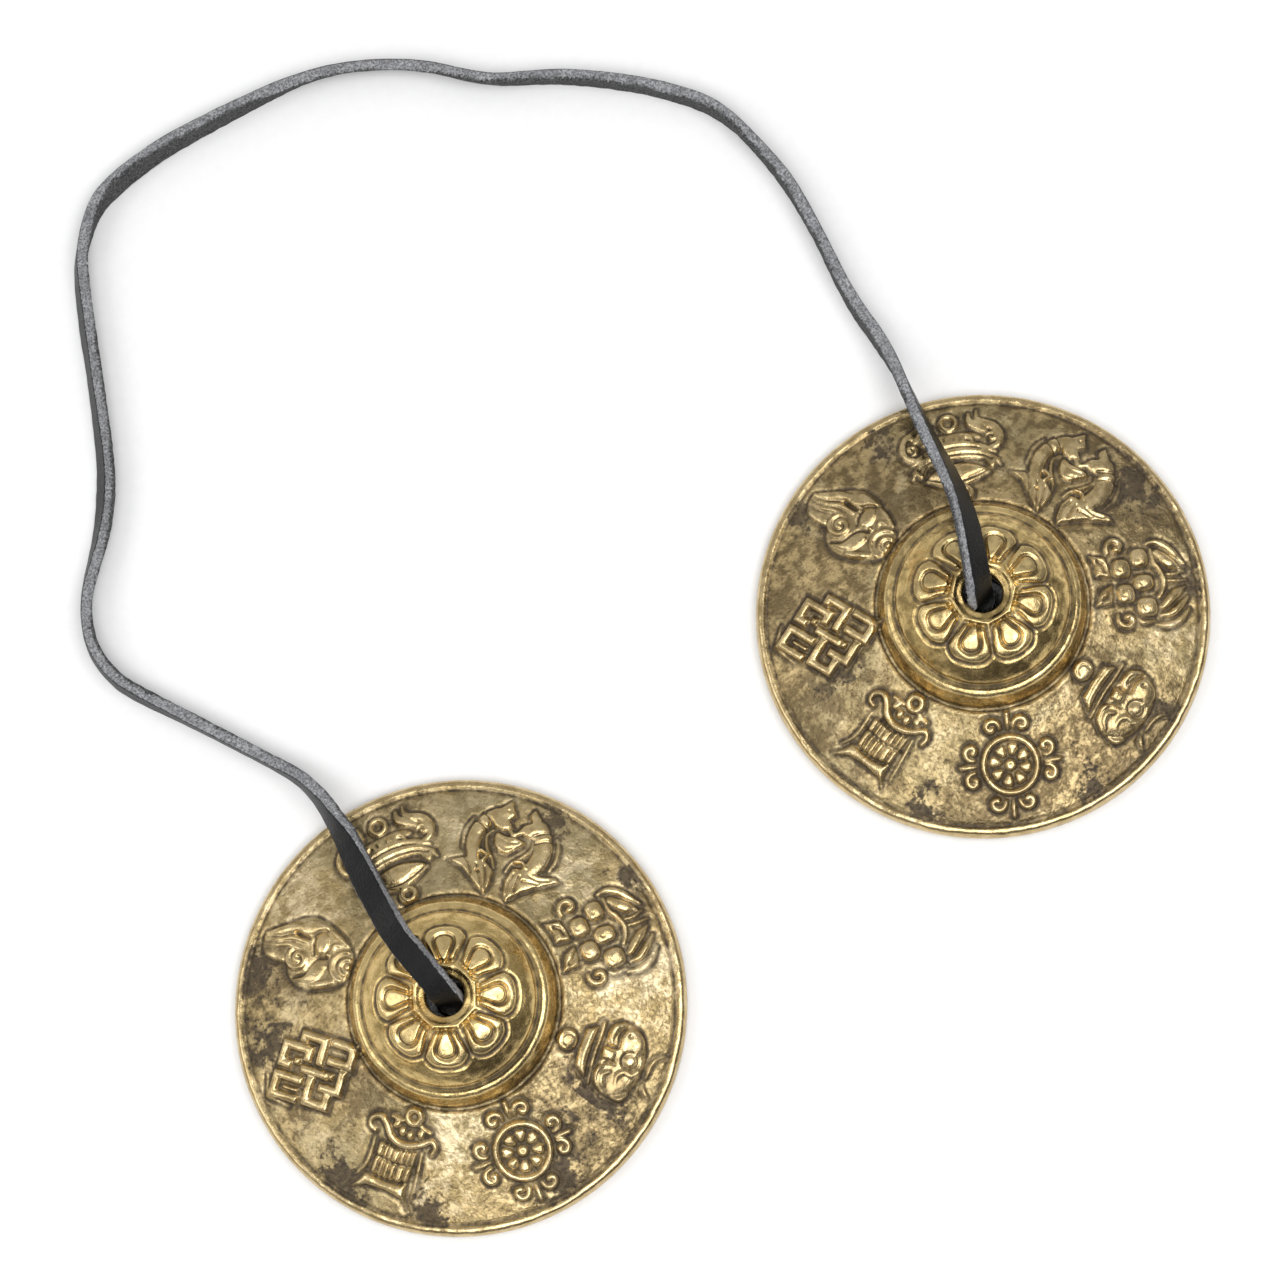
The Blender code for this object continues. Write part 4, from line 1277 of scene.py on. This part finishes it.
def spot(reach, angle, middle, away, size):
    """A spot's share at every point: 1 at its middle, fading over its size."""
    turned = math.radians(middle + PICTURE_TURN)
    gap_x = reach * np.cos(angle) - away * math.cos(turned)
    gap_y = reach * np.sin(angle) - away * math.sin(turned)
    return np.exp(-((np.hypot(gap_x, gap_y) / size) ** 2))


print("spots:", sum(len(places) for places in [*STAINS.values(), *WEAR_AND_PAINTED_SHADING.values()]))

# %% Place the cymbals
PROUD = 0.45
OUTER_DEPTH = 0.8
DOME_EDGE = 15.3
DOME_FADE = 0.5
RIM_EDGE = 31.3
RIM_FADE = 0.3


def place_cymbal(side, x):
    """A copy of the casting at one hub, with the attributes that its patina follows."""
    mesh = casting.copy()
    mesh.name = f"casting_{side}"
    places, reach, angle = polar(mesh)
    reach = reach / MM
    height, hollow = relief(reach, angle)
    outer = places[:, 2] / MM > np.interp(reach, upper[:, 0], upper[:, 1]) - OUTER_DEPTH
    turned = angle + math.radians(CASTING_TURNS[side])
    stain = np.max([spot(reach, turned, *place) for place in STAINS[side]], axis=0)
    # What the spots of wear, painted highlight and painted shade add up to at each point.
    wear_and_painted_shading = sum(amount * spot(reach, turned, *place) for *place, amount in WEAR_AND_PAINTED_SHADING[side])
    values_of = {
        "hollow": hollow * outer,
        "proud": np.clip(height / PROUD, 0, 1) * outer,
        "stain": stain * outer,
        "wear_and_painted_shading": np.clip(WEAR_AND_PAINTED_SHADING_ALL_OVER[side] + wear_and_painted_shading, -1, 1) * outer,
        "dome": np.clip((DOME_EDGE - reach) / DOME_FADE, 0, 1) * outer,
        "rim": np.clip((reach - RIM_EDGE) / RIM_FADE, 0, 1),
    }
    for name, values in values_of.items():
        layer = mesh.attributes.new(name, "FLOAT", "POINT")
        layer.data.foreach_set("value", values.astype(np.float32))
    turn = Matrix.Rotation(math.radians(CASTING_TURNS[side]), 4, "Z")
    mesh.transform(Matrix.Translation((x * MM, 0, 0)) @ turn)
    for face in mesh.polygons:
        face.use_smooth = True
    piece = bpy.data.objects.new(f"carved_cymbal_{side}", mesh)
    bpy.context.scene.collection.objects.link(piece)
    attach(piece, f"{side}_cymbal")
    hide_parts(f"cymbal_{side}")
    return piece


cymbals = [place_cymbal("left", -HUB_REACH), place_cymbal("right", HUB_REACH)]
print("cymbals placed:", ", ".join(piece.name for piece in cymbals))

# %% [markdown]
# ## Blotches
# Nearly every surface here is mottled at some scale: tarnish on the brass, grey nap on the
# leather, flecks in the paper. One node group gives all of them. It takes a place, a scale and
# two levels of a noise, and puts out a mask between those levels, so that each material can
# ask for large soft clouds or small hard specks.

# %% Node helpers
def add_node(tree, kind, **settings):
    """A new node, with its settings by name."""
    node = tree.nodes.new(kind)
    for name, value in settings.items():
        setattr(node, name, value)
    return node


def feed(tree, socket, source):
    """Give a socket a value, or link it to another socket."""
    if isinstance(source, bpy.types.NodeSocket):
        tree.links.new(source, socket)
    else:
        socket.default_value = source


def maths(tree, operation, first, second=0.0, clamp=False):
    """A Math node's result."""
    node = add_node(tree, "ShaderNodeMath", operation=operation, use_clamp=clamp)
    feed(tree, node.inputs[0], first)
    feed(tree, node.inputs[1], second)
    return node.outputs[0]


def times(tree, first, second):
    """Two values multiplied."""
    return maths(tree, "MULTIPLY", first, second)


def ramp(tree, value, low, high):
    """A value stretched to run smoothly from 0 at low to 1 at high."""
    node = add_node(tree, "ShaderNodeMapRange", interpolation_type="SMOOTHSTEP")
    feed(tree, node.inputs["Value"], value)
    node.inputs["From Min"].default_value = low
    node.inputs["From Max"].default_value = high
    return node.outputs["Result"]


def blend(tree, share, first, second):
    """Two colours mixed by a share."""
    node = add_node(tree, "ShaderNodeMix", data_type="RGBA")
    feed(tree, node.inputs["Factor"], share)
    for socket, colour in ((node.inputs["A"], first), (node.inputs["B"], second)):
        feed(tree, socket, colour if isinstance(colour, bpy.types.NodeSocket) else (*colour, 1.0))
    return node.outputs["Result"]


print("node helpers are ready")

# %% The group of blotches
NOISE_ROUGHNESS = 0.62


def blotch_group():
    """Build the node group of blotches."""
    group = bpy.data.node_groups.new("blotches", "ShaderNodeTree")
    group.interface.new_socket("Vector", in_out="INPUT", socket_type="NodeSocketVector")
    for name in ("Scale", "Detail", "Low", "High"):
        group.interface.new_socket(name, in_out="INPUT", socket_type="NodeSocketFloat")
    group.interface.new_socket("Mask", in_out="OUTPUT", socket_type="NodeSocketFloat")
    source = group.nodes.new("NodeGroupInput")
    cloud = add_node(group, "ShaderNodeTexNoise")
    cloud.inputs["Roughness"].default_value = NOISE_ROUGHNESS
    stretch = add_node(group, "ShaderNodeMapRange", interpolation_type="SMOOTHSTEP")
    result = group.nodes.new("NodeGroupOutput")
    for name in ("Vector", "Scale", "Detail"):
        group.links.new(source.outputs[name], cloud.inputs[name])
    group.links.new(cloud.outputs["Fac"], stretch.inputs["Value"])
    group.links.new(source.outputs["Low"], stretch.inputs["From Min"])
    group.links.new(source.outputs["High"], stretch.inputs["From Max"])
    group.links.new(stretch.outputs["Result"], result.inputs["Mask"])
    return group


blotch_nodes = blotch_group()


def blotches(tree, place, scale, detail, low, high):
    """A mask from the blotch group."""
    node = add_node(tree, "ShaderNodeGroup", node_tree=blotch_nodes)
    inputs = {"Vector": place, "Scale": scale, "Detail": detail, "Low": low, "High": high}
    for name, value in inputs.items():
        feed(tree, node.inputs[name], value)
    return node.outputs["Mask"]


print("blotch group sockets:", [item.name for item in blotch_nodes.interface.items_tree])

# %% Material helpers
def new_material(name):
    """A material with its node tree, its Principled shader and its place on the object in mm."""
    material = bpy.data.materials.new(name)
    material.use_nodes = True
    tree = material.node_tree
    place = add_node(tree, "ShaderNodeTexCoord").outputs["Object"]
    scaled = add_node(tree, "ShaderNodeMapping")
    scaled.inputs["Scale"].default_value = (1 / MM, 1 / MM, 1 / MM)
    tree.links.new(place, scaled.inputs["Vector"])
    return material, tree, tree.nodes["Principled BSDF"], scaled.outputs["Vector"]


def attribute(tree, name):
    """A value kept on the points of the mesh."""
    return add_node(tree, "ShaderNodeAttribute", attribute_name=name).outputs["Fac"]


def bump(tree, shader, height, depth):
    """Let a height from 0 to 1 raise the surface by a depth in metres."""
    node = add_node(tree, "ShaderNodeBump")
    node.inputs["Distance"].default_value = depth
    tree.links.new(height, node.inputs["Height"])
    tree.links.new(node.outputs["Normal"], shader.inputs["Normal"])


print("material helpers are ready")

# %% [markdown]
# ## Old cast brass
# The cymbals are brass that was cast, filed, and then handled for years. Raised work, the dome
# and the rim are rubbed to gold. The field between the figures keeps its cast skin: finely
# pitted, and mottled from a greenish tan to a greyish brown, with pale painted glints that stand
# for reflections. It is bright where hands rub it and dull where they don't, and in places the
# same bright and dull patches are painted highlight and painted shade, with painted dark
# reflections on the dome. Dark patina lies in every hollow and along the foot of the carving, and
# in a few places it has spread into stains. The masks come from the points' own attributes, and
# the blotches break up their edges so that nothing looks airbrushed. The pits are a bump as well
# as a colour, because the sparkle of such a skin is made by its slopes.

# %% Colours of old brass
TAN = (0.551, 0.414, 0.208)
TAN_DEEP = (0.389, 0.288, 0.132)
# The next colour is a painted glint: pale patches that stand for bright reflections.
PAINTED_GLINT = (0.76, 0.612, 0.36)
OLIVE = (0.294, 0.243, 0.128)
PIT = (0.19, 0.14, 0.072)
# The next two colours are rubbed brass that is also a painted highlight, and tarnish that is also
# painted shade.
RUBBED_AND_PAINTED_HIGHLIGHT = (0.874, 0.72, 0.456)
TARNISHED_AND_PAINTED_SHADE = (0.162, 0.117, 0.06)
GOLD = (0.757, 0.589, 0.319)
GOLD_DEEP = (0.563, 0.414, 0.193)
# The next colour is dull gold that is also painted shade.
GOLD_DULL_AND_PAINTED_SHADE = (0.291, 0.216, 0.109)
DOME = (0.74, 0.541, 0.23)
DOME_DEEP = (0.54, 0.38, 0.138)
DOME_RUST = (0.5, 0.275, 0.064)
# The next colour is dull brass on the dome that is also painted shade and painted dark reflection.
DOME_DULL_AND_PAINTED_SHADE = (0.25, 0.171, 0.055)
PETAL = (0.815, 0.635, 0.319)
RIM = (0.64, 0.497, 0.269)
RIM_DEEP = (0.456, 0.336, 0.164)
PATINA = (0.085, 0.062, 0.036)
PATINA_DEEP = (0.045, 0.034, 0.028)


def cast_skin(tree, place, mottle, specks, bright, dark):
    """The colour of the field, which still has its skin from the mould, with painted glints, and lighter
    and darker patches that are partly wear and partly painted highlight and painted shade.
    """
    clouds = blotches(tree, place, 0.09, 3.0, 0.42, 0.64)
    # Painted glints: pale patches in the colour that stand for bright reflections on the metal.
    painted_glints = blotches(tree, place, 0.16, 6.0, 0.5, 0.62)
    skin = blend(tree, mottle, TAN, TAN_DEEP)
    skin = blend(tree, times(tree, painted_glints, 0.55), skin, PAINTED_GLINT)
    skin = blend(tree, times(tree, clouds, 0.55), skin, OLIVE)
    skin = blend(tree, times(tree, specks, 0.45), skin, PIT)
    # Lighter and darker patches from the spots: partly real rubbing and tarnish, partly painted
    # highlight and painted shade.
    skin = blend(tree, bright, skin, RUBBED_AND_PAINTED_HIGHLIGHT)
    return blend(tree, dark, skin, TARNISHED_AND_PAINTED_SHADE)


def rubbed_gold(tree, place, mottle, dark, masks):
    """The colour of the raised work, the dome and the rim, which hands keep clean, with dull patches
    that are partly tarnish and partly painted shade, and painted dark reflections on the dome.
    """
    rust = blotches(tree, place, 0.11, 5.0, 0.56, 0.66)
    yellow = blend(tree, mottle, DOME, DOME_DEEP)
    yellow = blend(tree, times(tree, rust, 0.6), yellow, DOME_RUST)
    # Dull patches on the dome: partly tarnish, partly painted shade and painted dark reflections.
    yellow = blend(tree, times(tree, dark, 0.85), yellow, DOME_DULL_AND_PAINTED_SHADE)
    yellow = blend(tree, times(tree, masks["proud"], 0.5), yellow, PETAL)
    gold = blend(tree, mottle, GOLD, GOLD_DEEP)
    gold = blend(tree, masks["dome"], gold, yellow)
    # Dull patches on the raised work and the rim: partly tarnish, partly painted shade.
    gold = blend(tree, times(tree, dark, 0.5), gold, GOLD_DULL_AND_PAINTED_SHADE)
    return blend(tree, masks["rim"], gold, blend(tree, mottle, RIM, RIM_DEEP))


print("clean dome, linear colour:", DOME)

# %% Patina and pits
def patina(tree, mottle, specks, skin, masks):
    """Where dark patina lies: 0 on clean metal, 1 in the deepest hollows."""
    sunk = maths(tree, "ADD", 0.65, times(tree, mottle, 0.5))
    sunk = ramp(tree, times(tree, masks["hollow"], sunk), 0.15, 1.0)
    ragged = times(tree, maths(tree, "SUBTRACT", mottle, 0.5), 0.6)
    flecked = times(tree, maths(tree, "SUBTRACT", specks, 0.5), 0.25)
    spread = maths(tree, "ADD", maths(tree, "ADD", masks["stain"], ragged), flecked)
    spread = times(tree, ramp(tree, spread, 0.36, 0.74), times(tree, skin, 0.88))
    return maths(tree, "MAXIMUM", times(tree, sunk, 0.9), spread)


def pitted(tree, place, mottle, specks, skin):
    """The height of the surface: pitted where it has its skin, and gently wavy all over."""
    grit = blotches(tree, place, 2.6, 4.0, 0.3, 0.72)
    waves = blotches(tree, place, 0.17, 2.0, 0.2, 0.8)
    pits = maths(tree, "ADD", times(tree, grit, 0.5), times(tree, mottle, 0.9))
    pits = maths(tree, "SUBTRACT", pits, times(tree, specks, 0.6))
    pits = times(tree, pits, maths(tree, "ADD", 0.15, times(tree, skin, 0.85)))
    return maths(tree, "ADD", pits, times(tree, waves, 5.0))


print("patina goes from", PATINA, "to", PATINA_DEEP)

# %% Brass
PIT_DEPTH = 0.00006
POINT_MASKS = ("hollow", "proud", "stain", "wear_and_painted_shading", "dome", "rim")


def make_brass():
    """The casting's material."""
    material, tree, shader, place = new_material("old_cast_brass")
    masks = {name: attribute(tree, name) for name in POINT_MASKS}
    mottle = blotches(tree, place, 0.5, 6.0, 0.36, 0.66)
    specks = blotches(tree, place, 1.7, 5.0, 0.47, 0.68)
    handled = maths(tree, "MAXIMUM", times(tree, masks["proud"], 0.8), masks["rim"])
    handled = maths(tree, "MAXIMUM", handled, times(tree, masks["dome"], 0.9))
    skin = maths(tree, "SUBTRACT", 1.0, handled, clamp=True)
    break_up = maths(tree, "ADD", times(tree, mottle, 0.8), times(tree, specks, 0.25))
    break_up = maths(tree, "SUBTRACT", break_up, 0.5)
    # The bright and dark masks follow the spots: real rubbing and dullness, and painted highlight and
    # painted shade.
    bright = maths(tree, "SUBTRACT", masks["wear_and_painted_shading"], break_up)
    bright = times(tree, ramp(tree, bright, 0.1, 1.1), 0.8)
    dark = maths(tree, "SUBTRACT", break_up, masks["wear_and_painted_shading"])
    dark = times(tree, ramp(tree, dark, 0.1, 0.9), 0.8)
    field = cast_skin(tree, place, mottle, specks, bright, dark)
    metal = blend(tree, handled, field, rubbed_gold(tree, place, mottle, dark, masks))
    dirt = patina(tree, mottle, specks, skin, masks)
    colour = blend(tree, dirt, metal, blend(tree, specks, PATINA, PATINA_DEEP))
    feed(tree, shader.inputs["Base Color"], colour)
    dull = maths(tree, "ADD", 0.22, times(tree, skin, 0.09))
    dull = maths(tree, "ADD", dull, times(tree, specks, 0.12))
    dull = maths(tree, "ADD", dull, times(tree, dirt, 0.24))
    feed(tree, shader.inputs["Roughness"], dull)
    feed(tree, shader.inputs["Metallic"], maths(tree, "SUBTRACT", 1.0, times(tree, dirt, 0.5)))
    bump(tree, shader, pitted(tree, place, mottle, specks, skin), PIT_DEPTH)
    return material


brass = make_brass()
for piece in cymbals:
    piece.data.materials.append(brass)
print("brass has", len(brass.node_tree.nodes), "nodes")

# %% [markdown]
# ## Black lace leather
# The lace is split leather, dyed black. Its grain side is smooth, black and slightly glossy. Its
# back is napped and dark grey. The knife has opened the fibres along both cut edges, which are
# pale, bluish and soft. The second value of the UV map says how far round the lace a point is,
# so its distance from the middle of the grain side sorts the three. A fine noise frays the
# borders between them, and a large one lets the nap spread into the pale edges where the lace is
# worn. Dyed leather reflects little, so its specular level is low.

# %% Leather
CUT_DARK = (0.13, 0.133, 0.14)
CUT_PALE = (0.60, 0.605, 0.63)
CUT_SHADE = (0.13, 0.13, 0.14)
NAP_DARK = (0.03, 0.03, 0.031)
NAP_PALE = (0.17, 0.17, 0.168)
GRAIN_DARK = (0.003, 0.003, 0.0032)
GRAIN_PALE = (0.008, 0.008, 0.008)
GRAIN_BORDER = (1.8, 1.95)
NAP_BORDER = (3.3, 3.8)
PEBBLE_DEPTH = 0.00014


def make_leather():
    """The lace's material."""
    material, tree, shader, place = new_material("black_lace_leather")
    along = add_node(tree, "ShaderNodeUVMap", uv_map="strap").outputs["UV"]
    split = add_node(tree, "ShaderNodeSeparateXYZ")
    tree.links.new(along, split.inputs["Vector"])
    middle = round_way[-1] / 2 * MM
    off = maths(tree, "ABSOLUTE", maths(tree, "SUBTRACT", split.outputs["Y"], middle))
    off = times(tree, off, 1 / MM)
    fray = blotches(tree, place, 2.2, 6.0, 0.25, 0.75)
    frayed = maths(tree, "ADD", off, times(tree, maths(tree, "SUBTRACT", fray, 0.5), 0.16))
    grain = maths(tree, "SUBTRACT", 1.0, ramp(tree, frayed, *GRAIN_BORDER))
    worn = blotches(tree, place, 0.07, 2.0, 0.35, 0.65)
    napped = maths(tree, "ADD", frayed, times(tree, maths(tree, "SUBTRACT", fray, 0.5), 0.5))
    back = ramp(tree, maths(tree, "ADD", napped, times(tree, worn, 0.75)), *NAP_BORDER)
    fibre = blotches(tree, place, 3.2, 8.0, 0.32, 0.7)
    cloud = blotches(tree, place, 0.25, 4.0, 0.35, 0.7)
    cut = blend(tree, fibre, CUT_DARK, CUT_PALE)
    cut = blend(tree, times(tree, cloud, 0.35), cut, CUT_SHADE)
    nap = blend(tree, fibre, NAP_DARK, NAP_PALE)
    skin = blend(tree, cloud, GRAIN_DARK, GRAIN_PALE)
    colour = blend(tree, back, cut, nap)
    colour = blend(tree, grain, colour, skin)
    feed(tree, shader.inputs["Base Color"], colour)
    feed(tree, shader.inputs["Roughness"], maths(tree, "SUBTRACT", 0.93, times(tree, grain, 0.53)))
    shader.inputs["Specular IOR Level"].default_value = 0.22
    pebble = blotches(tree, place, 2.4, 4.0, 0.35, 0.7)
    fibres = times(tree, fibre, maths(tree, "SUBTRACT", 1.0, grain))
    bump(tree, shader, maths(tree, "ADD", times(tree, pebble, 0.35), fibres), PEBBLE_DEPTH)
    return material


leather = make_leather()
for piece in (strap_run, strap_end_left, strap_end_right):
    piece.data.materials.append(leather)
print("leather has", len(leather.node_tree.nodes), "nodes")

# %% [markdown]
# ## Floor
# The pair was photographed on white. The floor is matt white paper, large enough to fill every
# view.

# %% Paper
PAPER = (0.93, 0.93, 0.93)
PAPER_FLECK = (0.95, 0.95, 0.95)


def make_paper():
    """The matt white paper that the pair lies on."""
    material, tree, shader, place = new_material("white_paper")
    fleck = blotches(tree, place, 0.6, 3.0, 0.3, 0.7)
    feed(tree, shader.inputs["Base Color"], blend(tree, fleck, PAPER, PAPER_FLECK))
    shader.inputs["Roughness"].default_value = 0.85
    return material


bm = bmesh.new()
bmesh.ops.create_grid(bm, x_segments=1, y_segments=1, size=2.0)
floor = make_piece("floor", bm)
floor.data.materials.append(make_paper())

# %% [markdown]
# ## Light
# Polished metal shows what surrounds it, so the light is what gives it shape. The room is dark
# on the near side and pale at the top and behind, which shades every slope a little differently.
# One wide soft box over the near side is mirrored in the near and the right-hand slopes, and a
# weak one on the left keeps the shadows open.

# %% Room
ROOM_PALE_WAY = (-0.1, 0.75, 0.66)
ROOM_DARK = (0.10, 0.10, 0.11)
ROOM_PALE = (0.61, 0.61, 0.61)

world = bpy.data.worlds.new("studio")
world.use_nodes = True
sky = world.node_tree
where = add_node(sky, "ShaderNodeTexCoord").outputs["Generated"]
tilt = add_node(sky, "ShaderNodeVectorMath", operation="DOT_PRODUCT")
sky.links.new(where, tilt.inputs[0])
tilt.inputs[1].default_value = ROOM_PALE_WAY
level = ramp(sky, tilt.outputs["Value"], -0.75, 0.75)
feed(sky, sky.nodes["Background"].inputs["Color"], blend(sky, level, ROOM_DARK, ROOM_PALE))
bpy.context.scene.world = world
bpy.context.scene.view_settings.view_transform = "Standard"
print("room from", ROOM_DARK, "to", ROOM_PALE)

# %% Soft boxes
def soft_box(name, place, width, depth, power):
    """A rectangular soft light that faces the middle of the pair."""
    light = bpy.data.lights.new(name, "AREA")
    light.shape = "RECTANGLE"
    light.size = width
    light.size_y = depth
    light.energy = power
    lamp = bpy.data.objects.new(name, light)
    aim = Vector(place).to_track_quat("Z", "Y").to_matrix().to_4x4()
    lamp.matrix_world = Matrix.Translation(place) @ aim
    bpy.context.scene.collection.objects.link(lamp)


soft_box("key", (0.03, -0.26, 0.72), 0.85, 0.42, 4.5)
soft_box("fill", (-0.7, 0.35, 0.8), 0.6, 0.6, 1.9)
